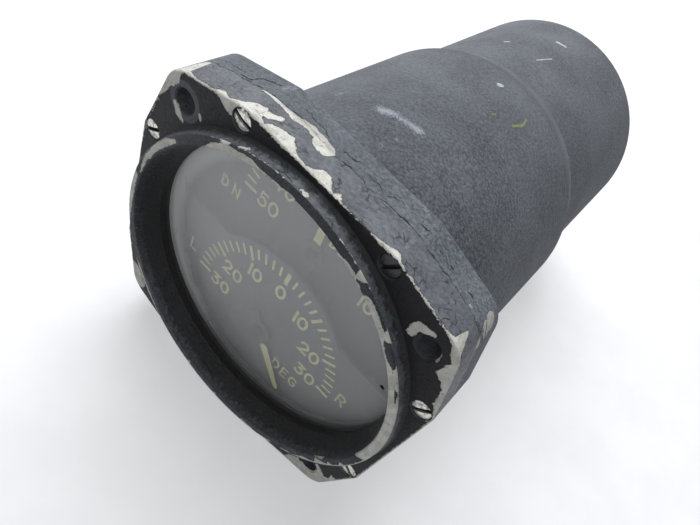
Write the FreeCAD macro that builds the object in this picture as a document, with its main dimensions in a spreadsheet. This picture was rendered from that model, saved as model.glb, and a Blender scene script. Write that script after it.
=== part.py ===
import FreeCAD, Part
import math
import os
import Sketcher

# Azimuth and elevation indicator, 3-1/8 inch class panel instrument.
# Millimetres. The case axis is Y, the dial faces -Y and dial-up is +Z.
# The origin is on the case axis in the front face of the flange.

doc = FreeCAD.newDocument("indicator")
sheet = doc.addObject("Spreadsheet::Sheet", "Sizes")

SIZES = [
    # flange and cover
    ("flange_land", 1.775),
    ("flange_vertex", 18.0),
    ("nose_cut", 5.075),
    ("nose_round", 6.5),
    ("edge_round", 0.5),
    ("cover_thick", 7.3),
    ("flange_thick", 7.0),
    ("ring_height", 3.0),
    ("ring_root_flare", 0.4),
    ("ring_foot_flare", 0.4),
    ("rim_width", 2.1),
    ("cone_flare", 1.6),
    ("rim_break", 0.25),
    ("cone_step", 0.1),
    ("cone_depth", 2.5),
    ("lip_width", 4.1),
    ("lip_depth", 4.7),
    ("seat_ledge", 1.1),
    ("seat_gap", 0.15),
    # window stack
    ("gasket_thick", 0.8),
    ("gasket_overhang", 0.1),
    ("glass_thick", 2.5),
    ("spacer_flange_thick", 1.0),
    ("spacer_wall", 0.5),
    ("spacer_gap", 0.1),
    ("spacer_ledge", 2.3),
    ("ledge_gap", 1.15),
    # mounting holes and cover screws
    ("mount_inset", 4.77),
    ("mount_hole_radius", 2.45),
    ("mount_chamfer", 0.4),
    ("cover_screw_inset", 2.675),
    ("cover_screw_radius", 1.2),
    ("cover_head_radius", 2.15),
    ("cover_head_height", 1.6),
    ("counterbore_gap", 0.2),
    ("counterbore_depth", 2.0),
    ("cover_screw_length", 9.0),
    ("slot_width", 0.9),
    ("slot_depth", 0.8),
    ("head_crown", 0.3),
    ("screw_gap", 0.1),
    # case
    ("barrel_wall", 2.4),
    ("bore_gap", 2.9),
    ("shoulder_start", 77.5),
    ("shoulder_round", 8.0),
    ("shoulder_length", 7.0),
    ("shoulder_wall", 0.4),
    ("can_gap", 0.05),
    ("can_wall", 1.5),
    ("can_lap", 11.0),
    ("can_end", 140.0),
    ("can_floor", 2.0),
    ("can_round", 3.0),
    ("lug_radius", 3.2),
    ("lug_inset", 2.9),
    ("lug_length", 7.0),
    ("plate_screw_radius", 1.25),
    ("plate_head_radius", 2.2),
    ("plate_head_height", 1.8),
    ("plate_screw_bite", 1.8),
    # dials
    ("azimuth_face_gap", 2.65),
    ("dial_space", 5.45),
    ("dial_thick", 0.8),
    ("azimuth_dial_gap", 0.5),
    ("azimuth_edge", 1.2),
    ("hump_radius", 25.5),
    ("elevation_dial_gap", 0.2),
    ("dial_hole_radius", 2.4),
    ("post_radius", 1.5),
    ("post_stud_radius", 0.8),
    ("post_stud_length", 2.4),
    ("side_post_inset", 8.1),
    ("side_post_drop", 8.0),
    ("low_post_inset", 3.1),
    # mounting plate and movement position
    ("plate_thick", 2.5),
    ("azimuth_drop", 18.9),
    ("movement_space", 0.5),
    ("pilot_radius", 6.0),
    ("pilot_gap", 0.05),
    # one movement, sizes measured from the rear of the mounting plate
    ("housing_radius", 13.5),
    ("housing_wall", 1.2),
    ("housing_length", 62.0),
    ("housing_floor", 2.5),
    ("foot_width", 0.8),
    ("foot_thick", 1.5),
    ("pilot_recess", 0.3),
    ("bearing_stop", 0.7),
    ("bearing_radius", 3.97),
    ("bearing_width", 2.8),
    ("shaft_radius", 1.588),
    ("running_gap", 0.02),
    ("press_gap", 0.02),
    ("shaft_hole_radius", 2.2),
    ("stator_start", 12.0),
    ("stator_length", 36.0),
    ("air_gap", 0.4),
    ("stator_coil_width", 3.4),
    ("stator_coil_gap", 0.7),
    ("coil_length", 5.0),
    ("coil_break", 0.8),
    ("stator_depth", 6.3),
    ("rotor_start", 13.0),
    ("rotor_length", 34.0),
    ("rotor_coil_gap", 0.612),
    ("rotor_coil_inset", 0.8),
    ("end_cap_thick", 3.0),
    ("end_pilot_length", 2.0),
    ("end_bearing_depth", 1.0),
    ("end_floor", 4.0),
    ("cup_radius", 10.0),
    ("cup_bore_radius", 8.6),
    ("cup_length", 15.0),
    ("lead_cap_thick", 2.5),
    ("lead_radius", 2.2),
    ("slip_radius", 4.2),
    ("slip_core_radius", 3.2),
    ("slip_start", 5.0),
    ("slip_track", 2.0),
    ("slip_space", 1.0),
    ("brush_gap", 0.3),
    ("brush_width", 1.0),
    ("brush_wall_gap", 0.05),
    ("shaft_tail", 11.0),
    # clamps
    ("clamp_radius", 3.0),
    ("clamp_height", 3.0),
    ("clamp_gap", 0.05),
    ("clamp_upper_out", 0.9),
    ("clamp_upper_z", 5.54),
    ("clamp_lower_in", 1.0),
    ("clamp_lower_z", 9.3),
    ("clamp_screw_radius", 1.0),
    ("clamp_head_radius", 1.8),
    ("clamp_head_height", 1.4),
    # pointers
    ("pointer_thick", 0.5),
    ("azimuth_pointer_gap", 0.65),
    ("elevation_pointer_gap", 0.75),
    ("pointer_eye_radius", 3.2),
    ("pointer_base_half", 1.4),
    ("pointer_tip_half", 0.85),
    ("azimuth_pointer_clear", 0.5),
    ("elevation_pointer_reach", 19.7),
    ("pointer_tail_reach", 6.0),
    ("pointer_tail_half", 1.5),
    ("hub_radius", 1.95),
    ("hub_front", 0.4),
    ("hub_rear", 0.9),
    ("shaft_nose", 0.3),
    ("azimuth_rest_angle", 139.4),
    ("elevation_rest_angle", -3.0),
    # posts that hold the rear case
    ("rear_post_radius", 2.4),
    ("rear_post_stud_radius", 1.2),
    ("top_post_gap", 2.6),
    ("rear_post_inset", 8.6),
    ("rear_post_drop", 4.0),
    ("rear_screw_radius", 1.2),
    ("rear_screw_bite", 6.0),
    ("rear_head_radius", 2.2),
    ("rear_head_height", 1.6),
    # receptacle
    ("square_half", 15.0),
    ("square_round", 3.0),
    ("square_thick", 2.0),
    ("receptacle_gasket", 0.8),
    ("receptacle_screw_inset", 3.0),
    ("receptacle_screw_radius", 1.1),
    ("receptacle_head_radius", 1.9),
    ("receptacle_head_height", 1.5),
    ("shell_body_radius", 11.8),
    ("shell_hole_gap", 0.2),
    ("shell_thread_height", 0.5),
    ("shell_thread_step", 0.4),
    ("thread_pitch", 1.4),
    ("shell_wall", 1.2),
    ("shell_front", 14.0),
    ("shell_rear", 11.0),
    ("insert_gap", 0.05),
    ("insert_rear", 2.5),
    ("pin_radius", 0.8),
    ("pin_rear", 6.0),
    ("pin_front", 2.0),
    ("pin_ring", 7.0),
    ("pin_ring_inner", 2.6),
    ("lead_end_offset", 4.6),
]

# Share of a corner's distance from the axis that lies along each of x and z
DIAGONAL = math.sqrt(0.5)

# A crowned screw head is flat to this share of its radius and falls by this share of its crown
CROWN_SHARE = 0.55
CROWN_FALL = 0.7

# Screw slot angles in degrees, as the screws were left after tightening
COVER_SLOT_TURNS = [-50.7, 13.4, 60.0, -20.0, -47.9, -31.2, 80.0, 34.6]
OTHER_SLOT_TURNS = [20.0, 75.0, -40.0, 5.0, 120.0]

for row, (alias, value) in enumerate(SIZES, start=1):
    sheet.set("A%d" % row, alias)
    sheet.set("B%d" % row, str(value))
    sheet.setAlias("B%d" % row, alias)
doc.recompute()


class Size:
    """A length that carries its number and its spreadsheet formula."""

    def __init__(self, value, text):
        self.value = float(value)
        self.text = text

    def __add__(self, other):
        other = as_size(other)
        return Size(self.value + other.value, "(%s + %s)" % (self.text, other.text))

    def __sub__(self, other):
        other = as_size(other)
        return Size(self.value - other.value, "(%s - %s)" % (self.text, other.text))

    def __mul__(self, other):
        other = as_size(other)
        return Size(self.value * other.value, "(%s * %s)" % (self.text, other.text))

    def __neg__(self):
        return Size(-self.value, "(0 - %s)" % self.text)


def as_size(number):
    if isinstance(number, Size):
        return number
    return Size(number, "(%.6f)" % number)


class Named:
    """The spreadsheet sizes by name."""


sz = Named()
for alias, value in SIZES:
    setattr(sz, alias, Size(value, "Sizes.%s" % alias))


def follow(alias, size):
    """Add a length that follows from others to the spreadsheet."""
    place = len(vars(sz)) + 1
    sheet.set("A%d" % place, alias)
    sheet.set("B%d" % place, "=" + size.text.replace("Sizes.", ""))
    sheet.setAlias("B%d" % place, alias)
    setattr(sz, alias, Size(size.value, "Sizes.%s" % alias))


# Movements side by side, and the bore that clears them
follow("foot_radius", sz.housing_radius + sz.foot_width)
follow("elevation_rise", sz.foot_radius * 2 + sz.movement_space - sz.azimuth_drop)
follow("bore_radius", sz.azimuth_drop + sz.foot_radius + sz.bore_gap)
follow("rotor_radius", sz.housing_radius - sz.stator_depth)
follow("stator_bore_radius", sz.rotor_radius + sz.air_gap)
follow("stator_coil_outer", sz.housing_radius - sz.housing_wall - sz.stator_coil_gap)
follow("stator_coil_inner", sz.stator_coil_outer - sz.stator_coil_width)
follow("rotor_coil_inner", sz.shaft_radius + sz.rotor_coil_gap)
follow("rotor_coil_outer", sz.rotor_radius - sz.rotor_coil_inset)
follow("clamp_upper_x", sz.foot_radius + sz.clamp_upper_out)
follow("clamp_lower_x", sz.foot_radius - sz.clamp_lower_in)

# Barrel, rear case and dials round or inside the bore
follow("barrel_radius", sz.bore_radius + sz.barrel_wall)
follow("shoulder_radius", sz.bore_radius + sz.shoulder_wall)
follow("shoulder_end", sz.shoulder_start + sz.shoulder_length)
follow("can_radius", sz.bore_radius - sz.can_gap)
follow("can_start", sz.shoulder_end - sz.can_lap)
follow("lug_offset", (sz.bore_radius - sz.lug_inset) * DIAGONAL)
follow("elevation_dial_radius", sz.bore_radius - sz.elevation_dial_gap)
follow("side_post_offset", sz.bore_radius - sz.side_post_inset)
follow("low_post_drop", sz.bore_radius - sz.low_post_inset)
follow("rear_post_side", sz.bore_radius - sz.rear_post_inset)
follow("top_post_rise",
       sz.elevation_rise + sz.foot_radius + sz.rear_post_radius + sz.top_post_gap)

# Window stack, from the spacer ring out to the glass seat and in to the rim
follow("spacer_bore_radius", sz.bore_radius + sz.spacer_ledge)
follow("spacer_outer_radius", sz.spacer_bore_radius - sz.spacer_gap)
follow("spacer_inner_radius", sz.spacer_outer_radius - sz.spacer_wall)
follow("azimuth_dial_radius", sz.spacer_inner_radius - sz.azimuth_dial_gap)
follow("azimuth_pointer_reach",
       sz.spacer_inner_radius - sz.azimuth_drop - sz.azimuth_pointer_clear)
follow("glass_seat_radius", sz.spacer_bore_radius + sz.seat_ledge)
follow("window_radius", sz.glass_seat_radius - sz.lip_width)
follow("gasket_inner_radius", sz.window_radius - sz.gasket_overhang)
follow("cone_radius", sz.window_radius + sz.cone_step)
follow("rim_inner_radius", sz.cone_radius + sz.cone_flare)
follow("ring_top_radius", sz.rim_inner_radius + sz.rim_width)
follow("ring_foot_radius", sz.ring_top_radius + sz.ring_foot_flare)
follow("ring_root_radius", sz.ring_foot_radius + sz.ring_root_flare)

# Flange outline round the glass seat, with its holes
follow("flange_half", sz.glass_seat_radius + sz.flange_land)
follow("nose_reach", sz.flange_half - sz.nose_cut)
follow("mount_offset", sz.nose_reach - sz.mount_inset)
follow("cover_screw_far", sz.flange_half - sz.cover_screw_inset)
follow("counterbore_radius", sz.cover_head_radius + sz.counterbore_gap)

# Receptacle
follow("receptacle_screw_offset", sz.square_half - sz.receptacle_screw_inset)
follow("shell_hole_radius", sz.shell_body_radius + sz.shell_hole_gap)
follow("shell_bore_radius", sz.shell_body_radius - sz.shell_wall)
follow("shell_thread_root", sz.shell_body_radius + sz.shell_thread_step)
follow("shell_thread_radius", sz.shell_thread_root + sz.shell_thread_height)
follow("insert_radius", sz.shell_bore_radius - sz.insert_gap)

# Stations along the case axis
cover_rear = sz.cover_thick
flange_rear = sz.cover_thick + sz.flange_thick
glass_front = sz.lip_depth + sz.gasket_thick
glass_rear = glass_front + sz.glass_thick
spacer_front = glass_rear + sz.gasket_thick
follow("azimuth_face", glass_rear + sz.azimuth_face_gap)
follow("elevation_face", sz.azimuth_face + sz.dial_space)
follow("ledge_depth", sz.azimuth_face + sz.dial_thick + sz.ledge_gap)
elevation_back = sz.elevation_face + sz.dial_thick
plate_rear = elevation_back + sz.plate_thick
lug_rear = plate_rear + sz.lug_length
housing_rear = plate_rear + sz.housing_length
cup_rear = housing_rear + sz.cup_length
lead_start = cup_rear + sz.lead_cap_thick
can_inside = sz.can_end - sz.can_floor
square_front = sz.can_end + sz.receptacle_gasket
square_rear = square_front + sz.square_thick
shell_start = sz.can_end - sz.shell_front
zero = as_size(0)

nodes = {}


def bind(item, path, size):
    """Tie one property of a document object to the spreadsheet."""
    item.setExpression(path, as_size(size).text)


def new_body(label):
    body = doc.addObject("PartDesign::Body", label + "_body")
    return body


def plane(body, role):
    for feature in body.Origin.OriginFeatures:
        if feature.Role == role:
            return feature
    raise ValueError(role)


def new_sketch(body, name, role, station=None):
    """Sketch on an origin plane; a front sketch is moved to its station along Y."""
    sketch = body.newObject("Sketcher::SketchObject", name)
    sketch.AttachmentSupport = [(plane(body, role), "")]
    sketch.MapMode = "FlatFace"
    if station is not None:
        sketch.AttachmentOffset = FreeCAD.Placement(
            FreeCAD.Vector(0, 0, -station.value), FreeCAD.Rotation())
        bind(sketch, "AttachmentOffset.Base.z", -station)
    return sketch


def pin_point(sketch, geometry, position, x, y):
    """Hold one sketch point at spreadsheet coordinates."""
    for kind, axis, size in (("DistanceX", -2, x), ("DistanceY", -1, y)):
        if size.text == zero.text:
            sketch.addConstraint(
                Sketcher.Constraint("PointOnObject", geometry, position, axis))
            continue
        index = sketch.addConstraint(
            Sketcher.Constraint(kind, -1, 1, geometry, position, size.value))
        bind(sketch, "Constraints[%d]" % index, size)


def add_polygon(sketch, points):
    """Closed outline through points given as pairs of sizes."""
    points = [(as_size(x), as_size(y)) for x, y in points]
    first = sketch.GeometryCount
    count = len(points)
    for index in range(count):
        start = FreeCAD.Vector(points[index][0].value, points[index][1].value, 0)
        following = points[(index + 1) % count]
        end = FreeCAD.Vector(following[0].value, following[1].value, 0)
        sketch.addGeometry(Part.LineSegment(start, end), False)
    for index in range(count):
        here = first + index
        after = first + (index + 1) % count
        sketch.addConstraint(Sketcher.Constraint("Coincident", here, 2, after, 1))
        pin_point(sketch, here, 1, points[index][0], points[index][1])


def add_circle(sketch, x, y, radius):
    x = as_size(x)
    y = as_size(y)
    centre = FreeCAD.Vector(x.value, y.value, 0)
    up = FreeCAD.Vector(0, 0, 1)
    geometry = sketch.addGeometry(Part.Circle(centre, up, radius.value), False)
    pin_point(sketch, geometry, 3, x, y)
    index = sketch.addConstraint(Sketcher.Constraint("Radius", geometry, radius.value))
    bind(sketch, "Constraints[%d]" % index, radius)


def pad(body, name, sketch, length):
    """Extrude a front sketch toward +Y."""
    feature = body.newObject("PartDesign::Pad", name)
    feature.Profile = sketch
    feature.Length = length.value
    bind(feature, "Length", length)
    feature.Reversed = True
    sketch.Visibility = False
    doc.recompute()
    return feature


def pocket(body, name, sketch, length):
    """Cut a front sketch toward +Y."""
    feature = body.newObject("PartDesign::Pocket", name)
    feature.Profile = sketch
    feature.Length = length.value
    bind(feature, "Length", length)
    sketch.Visibility = False
    doc.recompute()
    return feature


def turned(body, name, points, kind="PartDesign::Revolution"):
    """Turn an outline of (radius, station) pairs about the case axis."""
    sketch = new_sketch(body, name + "_sketch", "XY_Plane")
    add_polygon(sketch, points)
    feature = body.newObject(kind, name)
    feature.Profile = sketch
    feature.ReferenceAxis = (sketch, ["V_Axis"])
    feature.Angle = 360
    sketch.Visibility = False
    doc.recompute()
    return feature


def cut_holes(body, name, station, depth, places, radius):
    """Round holes toward +Y at the given (x, z) places."""
    sketch = new_sketch(body, name + "_sketch", "XZ_Plane", station)
    for x, z in places:
        add_circle(sketch, x, z, radius)
    return pocket(body, name, sketch, depth)


def round_edges(body, name, radius, wanted):
    """Round the edges of the current solid that the test picks."""
    base = body.Tip
    picked = []
    for index, edge in enumerate(base.Shape.Edges, start=1):
        if wanted(edge):
            picked.append("Edge%d" % index)
    feature = body.newObject("PartDesign::Fillet", name)
    feature.Base = (base, picked)
    feature.Radius = radius.value
    bind(feature, "Radius", radius)
    doc.recompute()
    return feature


def keep(label, item):
    """Give a finished document object its node name."""
    item.Label = label
    nodes[label] = item
    return item


def turned_piece(label, points, lift=None):
    """One turned solid, moved to its shaft line where lift is given."""
    body = new_body(label)
    turned(body, label + "_turn", points)
    raise_to(body, lift)
    return body


def raise_to(item, lift):
    if lift is not None:
        item.Placement = FreeCAD.Placement(
            FreeCAD.Vector(0, 0, lift.value), FreeCAD.Rotation(FreeCAD.Vector(0, 1, 0), 0))
        bind(item, "Placement.Base.z", lift)


def group(label, items):
    """Several solids that share one node."""
    joined = doc.addObject("Part::Compound", label + "_set")
    joined.Links = items
    return keep(label, joined)


def four(offset):
    """The four corners of a square pattern."""
    return [(offset, offset), (-offset, offset), (-offset, -offset), (offset, -offset)]


def cover_screw_places():
    far = sz.cover_screw_far
    near = sz.flange_vertex
    places = []
    for x, z in ((near, far), (far, near)):
        places += [(x, z), (-x, z), (-x, -z), (x, -z)]
    return places


def rear_post_places():
    side = sz.rear_post_side
    drop = -sz.rear_post_drop
    return [(zero, sz.top_post_rise), (side, drop), (-side, drop)]


def dial_post_places():
    side = sz.side_post_offset
    drop = -sz.side_post_drop
    return [(side, drop), (-side, drop), (zero, -sz.low_post_drop)]


def clamp_places(lift, side):
    """Four clamps round one movement; side is +1 above and -1 below."""
    places = []
    for x, z in ((sz.clamp_upper_x, sz.clamp_upper_z * -side),
                 (sz.clamp_lower_x, sz.clamp_lower_z * side)):
        places += [(x, lift + z), (-x, lift + z)]
    return places


def flange_outline():
    half = sz.flange_half
    vertex = sz.flange_vertex
    nose = sz.nose_reach
    quarter = [(vertex, half), (nose, nose), (half, vertex)]
    points = list(quarter)
    points += [(x, -z) for x, z in reversed(quarter)]
    points += [(-x, -z) for x, z in quarter]
    points += [(-x, z) for x, z in reversed(quarter)]
    return points


def is_nose_edge(edge):
    """True for the four long edges along Y at the corners of the flange."""
    ends = [vertex.Point for vertex in edge.Vertexes]
    if len(ends) != 2 or abs(ends[0].y - ends[1].y) < 1.0:
        return False
    reach = sz.nose_reach.value - 1.0
    return min(abs(ends[0].x), abs(ends[0].z), abs(ends[1].x), abs(ends[1].z)) > reach


def is_outline_edge_at(station):
    """A test for the flange outline edges in the plane of one station."""
    def test(edge):
        if abs(edge.BoundBox.YMax - station) > 0.01 or abs(edge.BoundBox.YMin - station) > 0.01:
            return False
        middle = edge.CenterOfMass
        if isinstance(edge.Curve, Part.Circle) and len(edge.Vertexes) == 1:
            return False
        flat = max(abs(middle.x), abs(middle.z))
        off_axis = math.hypot(middle.x, middle.z)
        return flat > sz.nose_reach.value - 3.0 and off_axis > sz.glass_seat_radius.value + 0.5
    return test


def make_front_cover():
    """Front cover: flange plate with the raised bezel ring."""
    body = new_body("front_cover")
    sketch = new_sketch(body, "cover_outline", "XZ_Plane", zero)
    add_polygon(sketch, flange_outline())
    pad(body, "cover_plate", sketch, sz.cover_thick)
    round_edges(body, "cover_noses", sz.nose_round, is_nose_edge)
    round_edges(body, "cover_front_edge", sz.edge_round, is_outline_edge_at(0.0))
    turned(body, "bezel_ring", [
        (sz.window_radius - 1, sz.lip_depth),
        (sz.window_radius - 1, -sz.ring_height),
        (sz.ring_top_radius - sz.rim_break, -sz.ring_height),
        (sz.ring_top_radius, -sz.ring_height + sz.rim_break),
        (sz.ring_foot_radius, -sz.ring_height * 0.25),
        (sz.ring_root_radius, zero),
        (sz.ring_root_radius, sz.lip_depth),
    ])
    turned(body, "bezel_bore", [
        (zero, -sz.ring_height - 1),
        (sz.rim_inner_radius + sz.rim_break * 2, -sz.ring_height - 1),
        (sz.rim_inner_radius + sz.rim_break, -sz.ring_height),
        (sz.rim_inner_radius, -sz.ring_height + sz.rim_break),
        (sz.cone_radius, sz.cone_depth),
        (sz.window_radius, sz.cone_depth + sz.rim_break),
        (sz.window_radius, sz.lip_depth),
        (sz.glass_seat_radius, sz.lip_depth),
        (sz.glass_seat_radius, sz.cover_thick + 1),
        (zero, sz.cover_thick + 1),
    ], "PartDesign::Groove")
    cut_holes(body, "mount_holes", zero, sz.cover_thick, four(sz.mount_offset),
              sz.mount_hole_radius)
    places = cover_screw_places()
    cut_holes(body, "screw_holes", zero, sz.cover_thick, places,
              sz.cover_screw_radius + sz.screw_gap)
    cut_holes(body, "screw_counterbores", zero, sz.counterbore_depth, places,
              sz.counterbore_radius)
    chamfer_mount_holes(body)
    return keep("front_cover", body)


def chamfer_mount_holes(body):
    """Break the front edge of the four mounting holes."""
    base = body.Tip
    picked = []
    for index, edge in enumerate(base.Shape.Edges, start=1):
        curve = edge.Curve
        if not isinstance(curve, Part.Circle):
            continue
        same_radius = abs(curve.Radius - sz.mount_hole_radius.value) < 0.01
        if same_radius and abs(edge.BoundBox.YMax) < 0.01:
            picked.append("Edge%d" % index)
    feature = body.newObject("PartDesign::Chamfer", "mount_chamfers")
    feature.Base = (base, picked)
    feature.Size = sz.mount_chamfer.value
    bind(feature, "Size", sz.mount_chamfer)
    doc.recompute()


def is_shoulder_edge(edge):
    """The ring where the barrel starts to narrow."""
    box = edge.BoundBox
    at_start = max(abs(box.YMin - sz.shoulder_start.value),
                   abs(box.YMax - sz.shoulder_start.value)) < 0.01
    return at_start and box.XMax > sz.barrel_radius.value - 0.01


def make_front_case():
    """Case casting: rear half of the flange, the barrel, its shoulder and four lugs."""
    body = new_body("front_case")
    sketch = new_sketch(body, "case_outline", "XZ_Plane", cover_rear)
    add_polygon(sketch, flange_outline())
    pad(body, "case_flange", sketch, sz.flange_thick)
    round_edges(body, "case_noses", sz.nose_round, is_nose_edge)
    round_edges(body, "case_rear_edge", sz.edge_round, is_outline_edge_at(flange_rear.value))
    turned(body, "barrel", [
        (sz.bore_radius - 1, cover_rear + 1),
        (sz.barrel_radius, cover_rear + 1),
        (sz.barrel_radius, sz.shoulder_start),
        (sz.shoulder_radius, sz.shoulder_end),
        (sz.bore_radius - 1, sz.shoulder_end),
    ])
    round_edges(body, "shoulder_break", sz.shoulder_round, is_shoulder_edge)
    turned(body, "case_bore", [
        (zero, cover_rear - 1),
        (sz.glass_seat_radius, cover_rear - 1),
        (sz.glass_seat_radius, spacer_front + sz.spacer_flange_thick),
        (sz.spacer_bore_radius, spacer_front + sz.spacer_flange_thick),
        (sz.spacer_bore_radius, sz.ledge_depth),
        (sz.bore_radius, sz.ledge_depth),
        (sz.bore_radius, sz.shoulder_end + 1),
        (zero, sz.shoulder_end + 1),
    ], "PartDesign::Groove")
    sketch = new_sketch(body, "lug_outline", "XZ_Plane", plate_rear)
    for x, z in four(sz.lug_offset):
        add_circle(sketch, x, z, sz.lug_radius)
    pad(body, "lugs", sketch, sz.lug_length)
    cut_holes(body, "lug_holes", plate_rear - 1, sz.lug_length + 2, four(sz.lug_offset),
              sz.plate_screw_radius + sz.screw_gap)
    cut_holes(body, "case_mount_holes", cover_rear, sz.flange_thick, four(sz.mount_offset),
              sz.mount_hole_radius)
    cut_holes(body, "case_screw_holes", cover_rear, sz.flange_thick, cover_screw_places(),
              sz.cover_screw_radius + sz.press_gap)
    return keep("front_case", body)


def is_can_rim(edge):
    """The outer rear edge of the rear case."""
    at_end = abs(edge.BoundBox.YMin - sz.can_end.value) < 0.01
    return at_end and edge.BoundBox.XMax > sz.can_radius.value - 0.5


def make_rear_case():
    """Rear case: a closed can that slides into the barrel."""
    body = turned_piece("rear_case", [
        (zero, sz.can_end),
        (zero, can_inside),
        (sz.can_radius - sz.can_wall, can_inside),
        (sz.can_radius - sz.can_wall, sz.can_start),
        (sz.can_radius, sz.can_start),
        (sz.can_radius, sz.can_end),
    ])
    round_edges(body, "can_rim", sz.can_round, is_can_rim)
    cut_holes(body, "can_screw_holes", can_inside - 1, sz.can_floor + 2, rear_post_places(),
              sz.rear_screw_radius + sz.screw_gap)
    cut_holes(body, "can_shell_hole", can_inside - 1, sz.can_floor + 2, [(zero, zero)],
              sz.shell_hole_radius)
    cut_holes(body, "can_shell_screw_holes", can_inside - 1, sz.can_floor + 2,
              four(sz.receptacle_screw_offset), sz.receptacle_screw_radius + sz.press_gap)
    return keep("rear_case", body)


def screw(label, x, z, turn, head_station, direction, head_radius, head_height, radius,
          length):
    """Slotted screw; direction +1 drives toward +Y and -1 toward -Y."""
    body = new_body(label)
    outer = head_station - head_height * direction
    crown = outer - sz.head_crown * direction
    turned(body, label + "_turn", [
        (zero, crown),
        (head_radius * CROWN_SHARE, outer - sz.head_crown * (CROWN_FALL * direction)),
        (head_radius, outer),
        (head_radius, head_station),
        (radius, head_station),
        (radius, head_station + length * direction),
        (zero, head_station + length * direction),
    ])
    start = crown
    if direction < 0:
        start = outer - sz.slot_depth
    sketch = new_sketch(body, label + "_slot_sketch", "XZ_Plane", start)
    half = sz.slot_width * 0.5
    reach = head_radius + 0.5
    add_polygon(sketch, [(-reach, -half), (reach, -half), (reach, half), (-reach, half)])
    pocket(body, label + "_slot", sketch, sz.slot_depth + sz.head_crown)
    place_screw(body, x, z, turn)
    return body


def place_screw(body, x, z, turn=0.0):
    """Move a turned piece to its place and turn it about its own axis, in degrees."""
    body.Placement = FreeCAD.Placement(
        FreeCAD.Vector(x.value, 0, z.value), FreeCAD.Rotation(FreeCAD.Vector(0, 1, 0), turn))
    bind(body, "Placement.Base.x", x)
    bind(body, "Placement.Base.z", z)


def screw_set(label, places, head_station, direction, head_radius, head_height, radius,
              length, turns):
    """A node of identical screws, each with its slot left at its own angle."""
    bodies = []
    for index, (x, z) in enumerate(places):
        name = "%s_%d" % (label, index + 1)
        bodies.append(screw(name, as_size(x), as_size(z), turns[index % len(turns)],
                            head_station, direction, head_radius, head_height, radius, length))
    return group(label, bodies)


def make_window_stack():
    """Gaskets, glass and the spacer ring round the dials."""
    outer = sz.glass_seat_radius - sz.seat_gap
    keep("front_gasket", turned_piece("front_gasket", [
        (sz.gasket_inner_radius, sz.lip_depth),
        (outer, sz.lip_depth),
        (outer, glass_front),
        (sz.gasket_inner_radius, glass_front),
    ]))
    keep("window_glass", turned_piece("window_glass", [
        (zero, glass_front),
        (outer, glass_front),
        (outer, glass_rear),
        (zero, glass_rear),
    ]))
    keep("rear_gasket", turned_piece("rear_gasket", [
        (sz.gasket_inner_radius, glass_rear),
        (outer, glass_rear),
        (outer, spacer_front),
        (sz.gasket_inner_radius, spacer_front),
    ]))
    keep("spacer_ring", turned_piece("spacer_ring", [
        (sz.spacer_inner_radius, spacer_front),
        (outer, spacer_front),
        (outer, spacer_front + sz.spacer_flange_thick),
        (sz.spacer_outer_radius, spacer_front + sz.spacer_flange_thick),
        (sz.spacer_outer_radius, sz.ledge_depth),
        (sz.spacer_inner_radius, sz.ledge_depth),
    ]))


def make_dials():
    """Upper dial plate on the mounting plate and the raised lower dial plate."""
    body = new_body("elevation_dial")
    sketch = new_sketch(body, "elevation_disc", "XZ_Plane", sz.elevation_face)
    add_circle(sketch, zero, zero, sz.elevation_dial_radius)
    pad(body, "elevation_plate", sketch, sz.dial_thick)
    cut_holes(body, "elevation_shaft_holes", sz.elevation_face, sz.dial_thick,
              [(zero, sz.elevation_rise), (zero, -sz.azimuth_drop)], sz.dial_hole_radius)
    cut_holes(body, "elevation_post_holes", sz.elevation_face, sz.dial_thick,
              dial_post_places(), sz.post_stud_radius + sz.press_gap)
    keep("elevation_dial", body)

    body = new_body("azimuth_dial")
    sketch = new_sketch(body, "azimuth_disc", "XZ_Plane", sz.azimuth_face)
    add_circle(sketch, zero, zero, sz.azimuth_dial_radius)
    pad(body, "azimuth_plate", sketch, sz.dial_thick)
    sketch = new_sketch(body, "azimuth_top_cut", "XZ_Plane", sz.azimuth_face)
    add_polygon(sketch, [(-sz.barrel_radius, -sz.azimuth_edge), (-sz.barrel_radius, sz.barrel_radius),
                         (sz.barrel_radius, sz.barrel_radius), (sz.barrel_radius, -sz.azimuth_edge)])
    pocket(body, "azimuth_straight_edge", sketch, sz.dial_thick)
    sketch = new_sketch(body, "azimuth_hump", "XZ_Plane", sz.azimuth_face)
    add_circle(sketch, zero, -sz.azimuth_drop, sz.hump_radius)
    hump = body.newObject("PartDesign::Pad", "azimuth_hump_pad")
    hump.Profile = sketch
    bind(hump, "Length", sz.dial_thick)
    hump.Reversed = True
    doc.recompute()
    hump_reach = sz.azimuth_drop + sz.hump_radius
    turned(body, "azimuth_trim", [
        (sz.azimuth_dial_radius, sz.azimuth_face - 1),
        (hump_reach + 1, sz.azimuth_face - 1),
        (hump_reach + 1, sz.azimuth_face + sz.dial_thick + 1),
        (sz.azimuth_dial_radius, sz.azimuth_face + sz.dial_thick + 1),
    ], "PartDesign::Groove")
    cut_holes(body, "azimuth_shaft_hole", sz.azimuth_face, sz.dial_thick,
              [(zero, -sz.azimuth_drop)], sz.dial_hole_radius)
    keep("azimuth_dial", body)


def make_dial_posts():
    """Three posts that clamp the upper dial and carry the lower one."""
    bodies = []
    front = sz.azimuth_face + sz.dial_thick
    for index, (x, z) in enumerate(dial_post_places(), start=1):
        body = turned_piece("dial_post_%d" % index, [
            (zero, front),
            (sz.post_radius, front),
            (sz.post_radius, sz.elevation_face),
            (sz.post_stud_radius, sz.elevation_face),
            (sz.post_stud_radius, sz.elevation_face + sz.post_stud_length),
            (zero, sz.elevation_face + sz.post_stud_length),
        ])
        place_screw(body, x, z)
        bodies.append(body)
    group("dial_posts", bodies)


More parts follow.
